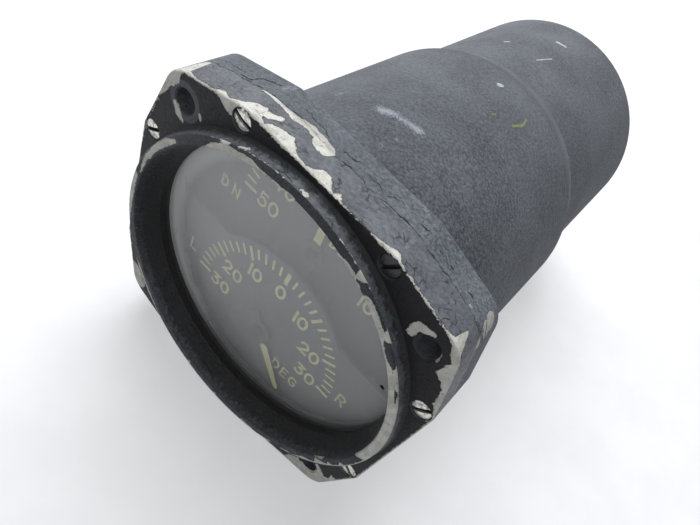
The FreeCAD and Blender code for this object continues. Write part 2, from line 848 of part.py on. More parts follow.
def make_mounting_plate():
    body = new_body("mounting_plate")
    sketch = new_sketch(body, "plate_disc", "XZ_Plane", elevation_back)
    add_circle(sketch, zero, zero, sz.elevation_dial_radius)
    pad(body, "plate_solid", sketch, sz.plate_thick)
    shafts = [(zero, sz.elevation_rise), (zero, -sz.azimuth_drop)]
    cut_holes(body, "plate_pilot_holes", elevation_back, sz.plate_thick, shafts,
              sz.pilot_radius + sz.pilot_gap)
    cut_holes(body, "plate_post_holes", elevation_back, sz.plate_thick, dial_post_places(),
              sz.post_stud_radius + sz.press_gap)
    cut_holes(body, "plate_rear_post_holes", elevation_back, sz.plate_thick,
              rear_post_places(), sz.rear_post_stud_radius + sz.press_gap)
    cut_holes(body, "plate_screw_holes", elevation_back, sz.plate_thick,
              four(sz.lug_offset), sz.plate_screw_radius + sz.press_gap)
    cut_holes(body, "plate_clamp_holes", elevation_back, sz.plate_thick, all_clamp_places(),
              sz.clamp_screw_radius + sz.press_gap)
    keep("mounting_plate", body)


def all_clamp_places():
    upper = clamp_places(sz.elevation_rise, 1)
    lower = clamp_places(-sz.azimuth_drop, -1)
    return upper + lower


def make_clamps():
    """Eight stepped clamps that hold the movement feet against the plate."""
    bodies = []
    index = 0
    for lift, side in ((sz.elevation_rise, 1), (-sz.azimuth_drop, -1)):
        for x, z in clamp_places(lift, side):
            index += 1
            name = "movement_clamp_%d" % index
            body = new_body(name)
            sketch = new_sketch(body, name + "_disc", "XZ_Plane", plate_rear)
            add_circle(sketch, x, z, sz.clamp_radius)
            pad(body, name + "_pad", sketch, sz.clamp_height)
            cut_holes(body, name + "_hole", plate_rear, sz.clamp_height, [(x, z)],
                      sz.clamp_screw_radius + sz.screw_gap)
            cut_holes(body, name + "_step", plate_rear, sz.foot_thick, [(zero, lift)],
                      sz.foot_radius + sz.clamp_gap)
            cut_holes(body, name + "_relief", plate_rear, sz.clamp_height, [(zero, lift)],
                      sz.housing_radius + sz.clamp_gap)
            bodies.append(body)
    group("movement_clamps", bodies)


def make_movement(name, lift, pointer_face, pointer_gap, reach, rest):
    """One self-synchronous movement with its shaft and pointer."""
    seat = sz.bearing_radius
    stop = elevation_back + sz.pilot_recess + sz.bearing_stop
    inner = sz.housing_radius - sz.housing_wall
    keep(name + "_housing", turned_piece(name + "_housing", [
        (sz.shaft_hole_radius, elevation_back + sz.pilot_recess),
        (sz.pilot_radius, elevation_back + sz.pilot_recess),
        (sz.pilot_radius, plate_rear),
        (sz.foot_radius, plate_rear),
        (sz.foot_radius, plate_rear + sz.foot_thick),
        (sz.housing_radius, plate_rear + sz.foot_thick),
        (sz.housing_radius, housing_rear),
        (inner, housing_rear),
        (inner, plate_rear + sz.housing_floor),
        (seat, plate_rear + sz.housing_floor),
        (seat, stop),
        (sz.shaft_hole_radius, stop),
    ], lift))

    end_stop = housing_rear + sz.end_bearing_depth
    keep(name + "_end_cap", turned_piece(name + "_end_cap", [
        (seat, housing_rear - sz.end_pilot_length),
        (inner - sz.press_gap, housing_rear - sz.end_pilot_length),
        (inner - sz.press_gap, housing_rear),
        (sz.housing_radius, housing_rear),
        (sz.housing_radius, housing_rear + sz.end_cap_thick),
        (sz.cup_radius, housing_rear + sz.end_cap_thick),
        (sz.cup_radius, cup_rear),
        (sz.cup_bore_radius, cup_rear),
        (sz.cup_bore_radius, housing_rear + sz.end_floor),
        (sz.shaft_hole_radius, housing_rear + sz.end_floor),
        (sz.shaft_hole_radius, end_stop),
        (seat, end_stop),
    ], lift))
    keep(name + "_lead_cap", turned_piece(name + "_lead_cap", [
        (zero, cup_rear),
        (sz.cup_radius, cup_rear),
        (sz.cup_radius, lead_start),
        (zero, lead_start),
    ], lift))

    bearings = []
    for tag, start in (("front", stop), ("rear", end_stop - sz.bearing_width)):
        bearings.append(turned_piece("%s_bearing_%s" % (name, tag), [
            (sz.shaft_radius + sz.running_gap, start),
            (seat - sz.press_gap, start),
            (seat - sz.press_gap, start + sz.bearing_width),
            (sz.shaft_radius + sz.running_gap, start + sz.bearing_width),
        ], lift))
    group(name + "_bearings", bearings)

    stator_front = plate_rear + sz.stator_start
    stator_rear = stator_front + sz.stator_length
    keep(name + "_stator", turned_piece(name + "_stator", [
        (sz.stator_bore_radius, stator_front),
        (inner - sz.press_gap, stator_front),
        (inner - sz.press_gap, stator_rear),
        (sz.stator_bore_radius, stator_rear),
    ], lift))
    coils = []
    for tag, start in (("front", stator_front - sz.coil_length), ("rear", stator_rear)):
        coils.append(coil("%s_stator_coil_%s" % (name, tag), start, sz.stator_coil_inner,
                          sz.stator_coil_outer, lift))
    group(name + "_stator_coils", coils)

    rotor_front = plate_rear + sz.rotor_start
    rotor_rear = rotor_front + sz.rotor_length
    keep(name + "_rotor", turned_piece(name + "_rotor", [
        (sz.shaft_radius, rotor_front),
        (sz.rotor_radius, rotor_front),
        (sz.rotor_radius, rotor_rear),
        (sz.shaft_radius, rotor_rear),
    ], lift))
    coils = []
    for tag, start in (("front", rotor_front - sz.coil_length), ("rear", rotor_rear)):
        coils.append(coil("%s_rotor_coil_%s" % (name, tag), start, sz.rotor_coil_inner,
                          sz.rotor_coil_outer, lift))
    group(name + "_rotor_coils", coils)

    pointer_back = pointer_face - pointer_gap
    pointer_front = pointer_back - sz.pointer_thick
    keep(name + "_shaft", turned_piece(name + "_shaft", [
        (zero, pointer_front - sz.hub_front - sz.shaft_nose),
        (sz.shaft_radius, pointer_front - sz.hub_front - sz.shaft_nose),
        (sz.shaft_radius, housing_rear + sz.shaft_tail),
        (zero, housing_rear + sz.shaft_tail),
    ], lift))
    keep(name + "_hub", turned_piece(name + "_hub", [
        (sz.shaft_radius, pointer_front - sz.hub_front),
        (sz.hub_radius, pointer_front - sz.hub_front),
        (sz.hub_radius, pointer_back + sz.hub_rear),
        (sz.shaft_radius, pointer_back + sz.hub_rear),
    ], lift))
    make_pointer(name, lift, pointer_front, reach, rest)

    slip_front = housing_rear + sz.slip_start
    first = slip_front + sz.slip_track
    second = first + sz.slip_space
    slip_rear = second + sz.slip_track
    keep(name + "_slip_rings", turned_piece(name + "_slip_rings", [
        (sz.shaft_radius, slip_front),
        (sz.slip_radius, slip_front),
        (sz.slip_radius, first),
        (sz.slip_core_radius, first),
        (sz.slip_core_radius, second),
        (sz.slip_radius, second),
        (sz.slip_radius, slip_rear),
        (sz.shaft_radius, slip_rear),
    ], lift))
    near = sz.slip_radius + sz.brush_gap
    far = sz.cup_bore_radius - sz.brush_wall_gap
    half = sz.brush_width * 0.5
    brushes = []
    for tag, start, side in (("front", slip_front, 1), ("rear", second, -1)):
        brush_name = "%s_brush_%s" % (name, tag)
        body = new_body(brush_name)
        station = start + (sz.slip_track - sz.brush_width) * 0.5
        sketch = new_sketch(body, brush_name + "_sketch", "XZ_Plane", station)
        add_polygon(sketch, [(near * side, -half), (far * side, -half), (far * side, half),
                             (near * side, half)])
        pad(body, brush_name + "_pad", sketch, sz.brush_width)
        raise_to(body, lift)
        brushes.append(body)
    group(name + "_brushes", brushes)


def coil(name, start, inner, outer, lift):
    """Ring of end turns with broken edges."""
    cut = sz.coil_break
    end = start + sz.coil_length
    return turned_piece(name, [
        (inner + cut, start),
        (outer - cut, start),
        (outer, start + cut),
        (outer, end - cut),
        (outer - cut, end),
        (inner + cut, end),
        (inner, end - cut),
        (inner, start + cut),
    ], lift)


def make_pointer(name, lift, front, reach, rest):
    """Tapered pointer with a short tail, drawn pointing up and turned to its rest."""
    body = new_body(name + "_pointer")
    sketch = new_sketch(body, name + "_pointer_eye", "XZ_Plane", front)
    add_circle(sketch, zero, zero, sz.pointer_eye_radius)
    pad(body, name + "_pointer_disc", sketch, sz.pointer_thick)
    sketch = new_sketch(body, name + "_pointer_blade", "XZ_Plane", front)
    base = sz.pointer_base_half
    tip = sz.pointer_tip_half
    tail = sz.pointer_tail_half
    add_polygon(sketch, [
        (-tail, -sz.pointer_tail_reach),
        (tail, -sz.pointer_tail_reach),
        (base, sz.pointer_eye_radius * 0.5),
        (tip, reach - tip),
        (tip * 0.5, reach),
        (-tip * 0.5, reach),
        (-tip, reach - tip),
        (-base, sz.pointer_eye_radius * 0.5),
    ])
    pad(body, name + "_pointer_bar", sketch, sz.pointer_thick)
    cut_holes(body, name + "_pointer_hole", front, sz.pointer_thick, [(zero, zero)],
              sz.hub_radius)
    body.Placement = FreeCAD.Placement(
        FreeCAD.Vector(0, 0, lift.value),
        FreeCAD.Rotation(FreeCAD.Vector(0, 1, 0), rest.value))
    bind(body, "Placement.Base.z", lift)
    bind(body, "Placement.Rotation.Angle", rest)
    keep(name + "_pointer", body)


def make_rear_posts():
    """Three long posts from the mounting plate to the floor of the rear case."""
    bodies = []
    bite = sz.rear_screw_bite
    for index, (x, z) in enumerate(rear_post_places(), start=1):
        body = turned_piece("rear_post_%d" % index, [
            (zero, elevation_back + 0.5),
            (sz.rear_post_stud_radius, elevation_back + 0.5),
            (sz.rear_post_stud_radius, plate_rear),
            (sz.rear_post_radius, plate_rear),
            (sz.rear_post_radius, can_inside),
            (sz.rear_screw_radius + sz.press_gap, can_inside),
            (sz.rear_screw_radius + sz.press_gap, can_inside - bite - 1),
            (zero, can_inside - bite - 1),
        ])
        place_screw(body, x, z)
        bodies.append(body)
    group("rear_posts", bodies)


def rounded_square(body, name, station, thick):
    sketch = new_sketch(body, name + "_square", "XZ_Plane", station)
    half = sz.square_half
    add_polygon(sketch, [(-half, -half), (half, -half), (half, half), (-half, half)])
    pad(body, name + "_plate", sketch, thick)

    def is_corner(edge):
        return edge.BoundBox.YLength > thick.value - 0.01 and len(edge.Vertexes) == 2
    round_edges(body, name + "_corners", sz.square_round, is_corner)


def make_receptacle():
    """Threaded electrical receptacle on the rear of the case."""
    places = four(sz.receptacle_screw_offset)
    hole = sz.receptacle_screw_radius + sz.screw_gap
    body = new_body("receptacle_gasket")
    rounded_square(body, "receptacle_gasket", sz.can_end, sz.receptacle_gasket)
    cut_holes(body, "receptacle_gasket_bore", sz.can_end, sz.receptacle_gasket,
              [(zero, zero)], sz.shell_hole_radius)
    cut_holes(body, "receptacle_gasket_holes", sz.can_end, sz.receptacle_gasket, places, hole)
    keep("receptacle_gasket", body)

    body = new_body("receptacle_shell")
    rounded_square(body, "receptacle_shell", square_front, sz.square_thick)
    shell_rear = square_rear + sz.shell_rear
    pitch = sz.thread_pitch
    points = [
        (sz.shell_bore_radius - 1, shell_start),
        (sz.shell_body_radius, shell_start),
        (sz.shell_body_radius, square_front + 0.5),
        (sz.shell_thread_root, square_front + 0.5),
    ]
    thread_start = square_rear + 1.2
    for turn in range(6):
        here = thread_start + pitch * turn
        points += [
            (sz.shell_thread_root, here),
            (sz.shell_thread_radius, here + pitch * 0.35),
            (sz.shell_thread_radius, here + pitch * 0.65),
        ]
    points += [
        (sz.shell_thread_root, thread_start + pitch * 6),
        (sz.shell_thread_root, shell_rear),
        (sz.shell_bore_radius - 1, shell_rear),
    ]
    turned(body, "shell_body", points)
    cut_holes(body, "shell_bore", shell_start - 1, shell_rear - shell_start + 2,
              [(zero, zero)], sz.shell_bore_radius)
    cut_holes(body, "shell_holes", square_front, sz.square_thick, places, hole)
    keep("receptacle_shell", body)

    pins = pin_places()
    insert_rear = square_rear + sz.insert_rear
    body = new_body("receptacle_insert")
    sketch = new_sketch(body, "insert_disc", "XZ_Plane", shell_start)
    add_circle(sketch, zero, zero, sz.insert_radius)
    pad(body, "insert_block", sketch, insert_rear - shell_start)
    cut_holes(body, "insert_pin_holes", shell_start, insert_rear - shell_start, pins,
              sz.pin_radius + sz.press_gap)
    keep("receptacle_insert", body)

    bodies = []
    start = shell_start - sz.pin_front
    for index, (x, z) in enumerate(pins, start=1):
        name = "receptacle_pin_%d" % index
        rod = doc.addObject("Part::Cylinder", name)
        bind(rod, "Radius", sz.pin_radius)
        bind(rod, "Height", square_rear + sz.pin_rear - start)
        rod.Placement = FreeCAD.Placement(
            FreeCAD.Vector(x.value, start.value, z.value),
            FreeCAD.Rotation(FreeCAD.Vector(1, 0, 0), -90))
        bind(rod, "Placement.Base.x", x)
        bind(rod, "Placement.Base.y", start)
        bind(rod, "Placement.Base.z", z)
        bodies.append(rod)
    group("receptacle_pins", bodies)


def pin_places():
    """Seven pins on the outer ring and three on the inner ring."""
    places = []
    for count, ring in ((7, sz.pin_ring), (3, sz.pin_ring_inner)):
        for index in range(count):
            turn = FreeCAD.Rotation(FreeCAD.Vector(0, 1, 0), 360.0 * index / count)
            spoke = turn.multVec(FreeCAD.Vector(0, 0, 1))
            places.append((ring * round(spoke.x, 5), ring * round(spoke.z, 5)))
    return places


def make_lead_sleeves():
    """Sleeved leads from each movement to the receptacle."""
    sleeves = []
    lengths = (0.0, 0.3, 0.7, 1.0)
    shifts = (0.0, 0.08, 0.92, 1.0)
    span = shell_start - sz.pin_front - lead_start
    for tag, lift, end in (("upper", sz.elevation_rise, sz.lead_end_offset),
                           ("lower", -sz.azimuth_drop, -sz.lead_end_offset)):
        rings = []
        for index, (length, shift) in enumerate(zip(lengths, shifts)):
            ring = doc.addObject("Part::Circle", "sleeve_%s_%d" % (tag, index))
            ring.Radius = sz.lead_radius.value
            bind(ring, "Radius", sz.lead_radius)
            y = lead_start + span * length
            z = lift + (end - lift) * shift
            ring.Placement = FreeCAD.Placement(
                FreeCAD.Vector(0, y.value, z.value),
                FreeCAD.Rotation(FreeCAD.Vector(1, 0, 0), -90))
            bind(ring, "Placement.Base.y", y)
            bind(ring, "Placement.Base.z", z)
            rings.append(ring)
        loft = doc.addObject("Part::Loft", "sleeve_%s" % tag)
        loft.Sections = rings
        loft.Solid = True
        loft.Ruled = False
        sleeves.append(loft)
    doc.recompute()
    group("lead_sleeves", sleeves)


def make_screws():
    screw_set("cover_screws", cover_screw_places(), sz.counterbore_depth, 1,
              sz.cover_head_radius, sz.cover_head_height, sz.cover_screw_radius,
              sz.cover_screw_length, COVER_SLOT_TURNS)
    screw_set("plate_screws", four(sz.lug_offset), lug_rear, -1, sz.plate_head_radius,
              sz.plate_head_height, sz.plate_screw_radius, sz.lug_length + sz.plate_screw_bite,
              OTHER_SLOT_TURNS)
    screw_set("clamp_screws", all_clamp_places(), plate_rear + sz.clamp_height, -1,
              sz.clamp_head_radius, sz.clamp_head_height, sz.clamp_screw_radius,
              sz.clamp_height + sz.plate_thick * 0.7, OTHER_SLOT_TURNS)
    screw_set("rear_screws", rear_post_places(), sz.can_end, -1, sz.rear_head_radius,
              sz.rear_head_height, sz.rear_screw_radius, sz.can_floor + sz.rear_screw_bite,
              OTHER_SLOT_TURNS)
    screw_set("receptacle_screws", four(sz.receptacle_screw_offset), square_rear, -1,
              sz.receptacle_head_radius, sz.receptacle_head_height,
              sz.receptacle_screw_radius, square_rear - can_inside, OTHER_SLOT_TURNS)


make_front_cover()
make_front_case()
make_rear_case()
make_window_stack()
make_dials()
make_dial_posts()
make_mounting_plate()
make_clamps()
make_movement("azimuth", -sz.azimuth_drop, sz.azimuth_face, sz.azimuth_pointer_gap,
              sz.azimuth_pointer_reach, sz.azimuth_rest_angle)
make_movement("elevation", sz.elevation_rise, sz.elevation_face, sz.elevation_pointer_gap,
              sz.elevation_pointer_reach, sz.elevation_rest_angle)
make_rear_posts()
make_receptacle()
make_lead_sleeves()
make_screws()

doc.recompute()
for item in doc.Objects:
    states = item.State
    if "Invalid" in states or "Error" in states:
        raise RuntimeError("%s is %s" % (item.Name, states))

os.makedirs("parts", exist_ok=True)
for label, item in nodes.items():
    shape = item.Shape
    if shape.isNull() or not shape.isValid():
        raise RuntimeError("bad solid: " + label)
    shape.exportStep("parts/%s.step" % label)
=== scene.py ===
"""Azimuth and elevation indicator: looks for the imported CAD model."""
import math

import bmesh
import bpy
from mathutils import Matrix, Vector


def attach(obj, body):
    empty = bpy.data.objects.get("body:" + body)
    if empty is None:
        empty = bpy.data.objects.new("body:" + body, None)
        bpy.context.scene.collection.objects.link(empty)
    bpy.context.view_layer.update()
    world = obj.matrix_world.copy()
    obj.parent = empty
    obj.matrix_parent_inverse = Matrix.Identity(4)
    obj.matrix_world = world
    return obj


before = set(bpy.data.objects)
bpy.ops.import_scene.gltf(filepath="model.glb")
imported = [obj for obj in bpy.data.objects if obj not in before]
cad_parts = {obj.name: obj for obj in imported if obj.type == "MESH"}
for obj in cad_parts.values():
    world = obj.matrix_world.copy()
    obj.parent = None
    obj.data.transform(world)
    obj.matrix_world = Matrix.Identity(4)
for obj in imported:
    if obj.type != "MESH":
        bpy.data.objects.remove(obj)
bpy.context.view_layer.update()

MM = 0.001

# Faces that carry things, in millimetres in the row frame
AZIMUTH_FACE = 10.65
ELEVATION_FACE = 16.1
AZIMUTH_DROP = 18.9
ELEVATION_RISE = 10.2
SCALE_RADIUS = 23.76
PRINT_HEIGHT = 0.06
AZIMUTH_POINTER_FACE = 9.5
ELEVATION_POINTER_FACE = 14.85
AZIMUTH_REST = 139.4
ELEVATION_REST = -3.0


class Shader:
    """A material or a world made of nodes; its pattern coordinates are object millimetres."""

    def __init__(self, name, world=False):
        kinds = bpy.data.worlds if world else bpy.data.materials
        self.made = kinds.new(name)
        self.made.use_nodes = True
        self.tree = self.made.node_tree
        self.tree.nodes.clear()
        if world:
            self.output = self.tree.nodes.new("ShaderNodeOutputWorld")
            return
        self.output = self.tree.nodes.new("ShaderNodeOutputMaterial")
        coordinates = self.tree.nodes.new("ShaderNodeTexCoord")
        self.normal = coordinates.outputs["Normal"]
        self.place = self.scaled(coordinates.outputs["Object"], 1000.0)

    def put(self, socket, value):
        """Link a socket to a socket, or give it a value; a colour may leave out its alpha."""
        if isinstance(value, bpy.types.NodeSocket):
            self.tree.links.new(value, socket)
        elif socket.type == "RGBA" and len(value) == 3:
            socket.default_value = (*value, 1.0)
        else:
            socket.default_value = value

    def node(self, kind, *values, **settings):
        """A node with its settings made and its inputs filled in order."""
        made = self.tree.nodes.new(kind)
        for key, value in settings.items():
            setattr(made, key, value)
        for index, value in enumerate(values):
            if value is not None:
                self.put(made.inputs[index], value)
        return made

    def math(self, operation, *values, clamp=False):
        made = self.node("ShaderNodeMath", *values, operation=operation, use_clamp=clamp)
        return made.outputs[0]

    def vector(self, operation, *values):
        made = self.node("ShaderNodeVectorMath", *values, operation=operation)
        if operation in {"LENGTH", "DISTANCE", "DOT_PRODUCT"}:
            return made.outputs["Value"]
        return made.outputs["Vector"]

    def scaled(self, place, factor):
        made = self.node("ShaderNodeVectorMath", place, operation="SCALE")
        made.inputs["Scale"].default_value = factor
        return made.outputs["Vector"]

    def noise(self, scale, detail=2.0, rough=0.5, place=None):
        """Smooth random values of 0 to 1, about scale of them in each millimetre."""
        made = self.node("ShaderNodeTexNoise")
        self.put(made.inputs["Vector"], place or self.place)
        made.inputs["Scale"].default_value = scale
        made.inputs["Detail"].default_value = detail
        made.inputs["Roughness"].default_value = rough
        return made.outputs["Fac"]

    def cells(self, scale, feature, place=None):
        """Distances in a pattern of random cells."""
        made = self.node("ShaderNodeTexVoronoi", feature=feature)
        self.put(made.inputs["Vector"], place or self.place)
        made.inputs["Scale"].default_value = scale
        return made.outputs["Distance"]

    def stretch(self, sizes, place=None):
        return self.vector("MULTIPLY", place or self.place, sizes)

    def remap(self, value, low, high, to_low=0.0, to_high=1.0, smooth=True):
        """A value between two limits brought to between two others."""
        made = self.node("ShaderNodeMapRange", value, low, high, to_low, to_high)
        if smooth:
            made.interpolation_type = "SMOOTHSTEP"
        return made.outputs[0]

    def mix(self, amount, first, second):
        """A colour between two colours."""
        made = self.node("ShaderNodeMix", data_type="RGBA")
        self.put(made.inputs["Factor"], amount)
        self.put(made.inputs[6], first)
        self.put(made.inputs[7], second)
        return made.outputs[2]

    def blend(self, amount, first, second):
        """A number between two numbers."""
        made = self.node("ShaderNodeMix", data_type="FLOAT")
        self.put(made.inputs[0], amount)
        self.put(made.inputs[2], first)
        self.put(made.inputs[3], second)
        return made.outputs[0]

    def bump(self, height, strength, depth):
        """A normal bent by a height pattern of a depth in millimetres."""
        made = self.node("ShaderNodeBump")
        made.inputs["Strength"].default_value = strength
        made.inputs["Distance"].default_value = depth * MM
        self.put(made.inputs["Height"], height)
        return made.outputs["Normal"]

    def principled(self, **values):
        made = self.node("ShaderNodeBsdfPrincipled")
        for key, value in values.items():
            self.put(made.inputs[key.replace("_", " ")], value)
        return made.outputs[0]

    def finish(self, surface):
        self.put(self.output.inputs["Surface"], surface)
        return self.made


# Places round the cover are given by their heading: degrees from the x axis towards the
# z axis.  Each row is (heading, first, second) in millimetres, between which the width of
# bare metal is read off; the paint is gone nearer to the edge than that.
PROFILE_REACH = 8.0

# Outline edge: how far the bare metal reaches over the side, and over the front face
EDGE_UPPER_LEFT = [
    (145.0, 0.3, 0.3), (140.5, 0.3, 1.5), (137.0, 0.2, 2.1), (134.5, 0.4, 1.5),
    (133.4, 6.5, 0.3), (132.0, 6.8, 0.2), (131.2, 0.9, 0.3), (128.0, 0.3, 0.4),
    (123.5, 0.3, 0.4), (122.2, 0.9, 0.5), (121.2, 1.4, 1.2), (120.2, 0.8, 2.3),
    (118.6, 0.4, 2.9), (117.2, 1.0, 2.6), (116.2, 1.5, 0.6), (114.8, 2.5, 0.3),
    (113.0, 3.5, 0.2), (111.3, 3.9, 0.3), (110.3, 1.5, 0.3), (108.6, 0.6, 0.3),
    (107.6, 1.9, 0.2), (104.6, 3.0, 0.3), (102.3, 3.4, 0.4), (100.6, 2.2, 0.3),
    (98.0, 0.9, 0.2), (96.0, 0.7, 0.1),
]
EDGE_UPPER_RIGHT = [
    (96.0, 0.7, 0.1), (94.6, 0.5, 0.1), (93.0, 1.3, 0.1), (91.7, 2.8, 0.1),
    (89.0, 2.9, 0.1), (87.2, 1.2, 0.1), (85.4, 0.2, 0.1), (84.4, 1.7, 0.1),
    (83.4, 0.9, 0.1), (82.2, 0.2, 0.1), (76.0, 0.2, 0.1), (75.4, 0.0, 0.1),
    (73.8, 0.2, 0.2), (70.4, 0.5, 0.4), (68.9, 0.9, 0.3), (67.0, 1.5, 0.3),
    (65.4, 0.8, 0.2), (63.5, 0.35, 0.2), (50.0, 0.35, 0.2), (48.8, 0.6, 0.2),
    (48.1, 1.1, 0.2), (47.8, 2.6, 0.2), (47.2, 4.4, 0.2), (46.4, 3.6, 0.3),
    (46.0, 2.8, 0.4), (45.2, 1.8, 0.6), (44.4, 0.8, 0.8), (43.0, 0.6, 0.9),
]
EDGE_RIGHT = [
    (46.0, 1.0, 0.5), (43.5, 0.6, 0.8), (42.4, 0.5, 0.9), (41.9, 0.5, 2.0),
    (41.0, 0.5, 2.2), (39.5, 0.6, 3.1), (38.7, 0.6, 2.7), (37.9, 0.7, 2.2),
    (37.1, 0.7, 1.6), (35.5, 0.7, 1.1), (34.6, 0.6, 0.9), (32.2, 0.6, 0.9),
    (30.6, 0.6, 1.1), (29.4, 0.6, 1.2), (28.0, 0.5, 0.5), (20.0, 0.4, 0.3),
    (0.0, 0.4, 0.3), (-20.0, 0.4, 0.35), (-27.0, 0.5, 0.5), (-33.5, 0.8, 0.5),
    (-35.0, 1.0, 1.9), (-37.0, 1.0, 0.9), (-39.5, 1.0, 2.2), (-42.5, 1.3, 5.0),
    (-48.5, 1.4, 5.2), (-52.5, 1.2, 3.6), (-56.0, 0.8, 1.0), (-65.0, 0.4, 0.4),
]
# Seam between cover and case: how far the bare metal reaches over the cover and the case
SEAM_WEAR = [
    (118.4, 0.0, 0.0), (117.4, 0.5, 0.5), (113.5, 0.9, 0.4), (110.3, 1.0, 0.5),
    (107.4, 1.4, 0.8), (105.7, 1.2, 1.2), (104.4, 0.6, 1.7), (103.0, 0.6, 1.9),
    (100.5, 0.9, 1.8), (99.0, 2.2, 1.8), (97.0, 2.7, 1.6), (95.4, 2.6, 1.4),
    (94.2, 1.7, 0.8), (93.5, 0.2, 0.2), (92.8, 0.0, 0.0), (53.0, 0.0, 0.0),
    (50.0, 0.15, 0.0), (44.5, 0.2, 0.0), (43.6, 1.0, 0.2), (42.0, 1.1, 0.1),
    (41.0, 0.4, 0.0), (40.4, 0.0, 0.0),
]
# Flat rim of the bezel ring: bare metal from its outer edge and from its inner edge
RIM_UPPER = [
    (180.0, 1.7, 0.0), (170.0, 1.5, 0.0), (168.0, 0.2, 0.0), (140.0, 0.1, 0.0),
    (126.0, 0.1, 0.1), (125.0, 0.1, 0.6), (122.6, 0.1, 1.3), (119.0, 0.1, 1.8),
    (118.4, 0.8, 1.9), (116.0, 0.8, 1.9), (114.9, 0.1, 1.9), (112.5, 0.1, 1.7),
    (107.7, 0.1, 1.7), (105.0, 0.1, 1.1), (103.5, 0.1, 0.8), (96.0, 0.1, 0.5),
    (94.0, 0.1, 0.8), (91.5, 0.1, 0.7), (90.0, 0.1, 0.1),
    (76.0, 0.1, 0.1), (73.0, 0.1, 0.3), (71.5, 0.1, 1.0), (67.5, 0.2, 1.2),
    (66.5, 1.8, 0.9), (65.0, 1.2, 0.6), (64.0, 0.2, 0.9), (62.0, 0.1, 0.3),
    (60.5, 0.1, 0.6),
]
RIM_LOWER = [
    (62.0, 0.1, 0.6), (60.0, 0.1, 1.8), (56.5, 0.1, 2.0), (53.0, 0.1, 1.8),
    (50.8, 0.2, 1.7), (49.8, 1.1, 1.7), (48.0, 1.2, 1.4), (47.2, 0.2, 0.9),
    (46.2, 0.0, 0.8), (43.3, 0.0, 0.8), (41.5, 0.0, 1.0), (39.9, 0.1, 1.5),
    (38.9, 0.9, 1.7), (33.2, 0.9, 1.7), (31.6, 0.2, 1.7), (28.3, 0.4, 1.7),
    (25.9, 1.1, 1.7), (10.0, 1.2, 1.8), (-5.0, 1.0, 1.9), (-7.0, 0.5, 1.6),
    (-8.5, 0.5, 0.1), (-18.0, 0.6, 0.0), (-19.4, 1.5, 0.0), (-20.6, 0.7, 0.0),
    (-24.8, 0.7, 0.0), (-25.8, 1.5, 0.0), (-27.0, 0.7, 0.0), (-28.4, 1.0, 0.5),
    (-32.2, 2.1, 0.2), (-34.0, 0.7, 0.0), (-39.7, 1.3, 0.0), (-46.0, 0.4, 0.0),
]
RIM_LEFT = [
    (-46.0, 0.3, 0.0), (-47.5, 0.9, 0.0), (-51.0, 0.8, 0.0), (-52.0, 0.2, 0.0),
    (-56.0, 0.2, 0.0), (-57.0, 0.9, 0.0), (-62.0, 0.8, 0.0), (-63.0, 0.3, 0.0),
    (-65.4, 0.4, 0.0), (-66.5, 0.9, 0.0), (-70.8, 1.2, 0.0), (-71.6, 1.6, 0.0),
    (-72.4, 0.8, 0.0), (-85.0, 0.7, 0.0), (-86.4, 1.0, 0.0), (-87.1, 1.8, 0.0),
    (-88.0, 0.8, 0.0), (-101.0, 0.7, 0.0), (-102.4, 1.0, 0.0), (-103.0, 2.0, 0.0),
    (-104.2, 0.8, 0.0), (-120.0, 0.6, 0.0), (-128.0, 0.8, 0.0), (-136.0, 1.1, 0.0),
    (-147.0, 1.0, 0.0), (-150.0, 0.4, 0.0), (-165.0, 0.4, 0.0), (-172.0, 1.2, 0.0),
    (-180.0, 1.7, 0.0),
]

# Bare patches away from the edges: (start, end, radius at start, radius at end)
COVER_PATCHES = [
    ((-15.2, 2.8, 41.3), (-13.4, 4.3, 41.3), 1.0, 0.55),
    ((36.6, 7.0, 34.0), (37.1, 5.9, 33.0), 0.7, 0.35),
    ((27.6, 0.0, 31.3), (27.8, 0.0, 33.4), 0.8, 1.05),
    ((28.2, 0.0, 33.9), (30.6, 0.0, 34.9), 1.1, 0.5),
    ((33.8, 0.3, 32.4), (33.9, 0.4, 30.8), 0.3, 0.4),
    ((-36.7, -3.0, 8.5), (-35.9, -3.0, 13.1), 0.25, 0.5),
    ((-35.9, -3.0, 13.1), (-34.4, -3.0, 16.8), 0.5, 0.6),
    ((-34.4, -3.0, 16.8), (-32.9, -3.0, 19.8), 0.6, 0.75),
    ((-32.9, -3.0, 19.8), (-31.0, -3.0, 22.6), 0.75, 0.7),
    ((-31.0, -3.0, 22.6), (-29.0, -3.0, 24.8), 0.7, 0.4),
    ((-36.8, 0.0, -31.0), (-33.8, 0.0, -34.2), 2.6, 1.6),
    ((-33.9, 0.0, 29.5), (-32.4, 0.0, 27.8), 0.5, 0.85),
    ((-32.4, 0.0, 27.8), (-31.2, 0.0, 27.1), 0.8, 0.4),
    ((-27.2, 0.0, 31.7), (-26.8, 0.0, 30.9), 0.3, 0.35),
    ((34.6, 0.0, -34.6), (35.4, 0.0, -30.4), 1.4, 1.0),
    ((35.0, 0.0, -29.4), (33.4, 0.0, -28.0), 0.9, 0.6),
    ((-14.6, -2.5, 36.4), (-13.2, -2.0, 37.1), 0.35, 0.3),
    ((-0.7, -2.3, 39.4), (0.3, -2.2, 39.4), 0.4, 0.4),
]

RIM_OUTER_RADIUS = 39.2
RIM_INNER_RADIUS = 37.1
RING_ROOT_RADIUS = 40.0
SEAM_Y = 7.3

# A width of nothing leaves the paint sound by this much, past its ragged edge
SOUND = 0.3

# Outline wear stops this far in from the outline; the outline's sides lie at these
# distances from the middle, each along (shorter share, longer share) of a place
SIDE_REACH = 0.8
EDGE_SIDES = [((0.0, 1.0), 41.275), ((0.26857, 0.96326), 44.5930), ((0.70711, 0.70711), 49.50)]


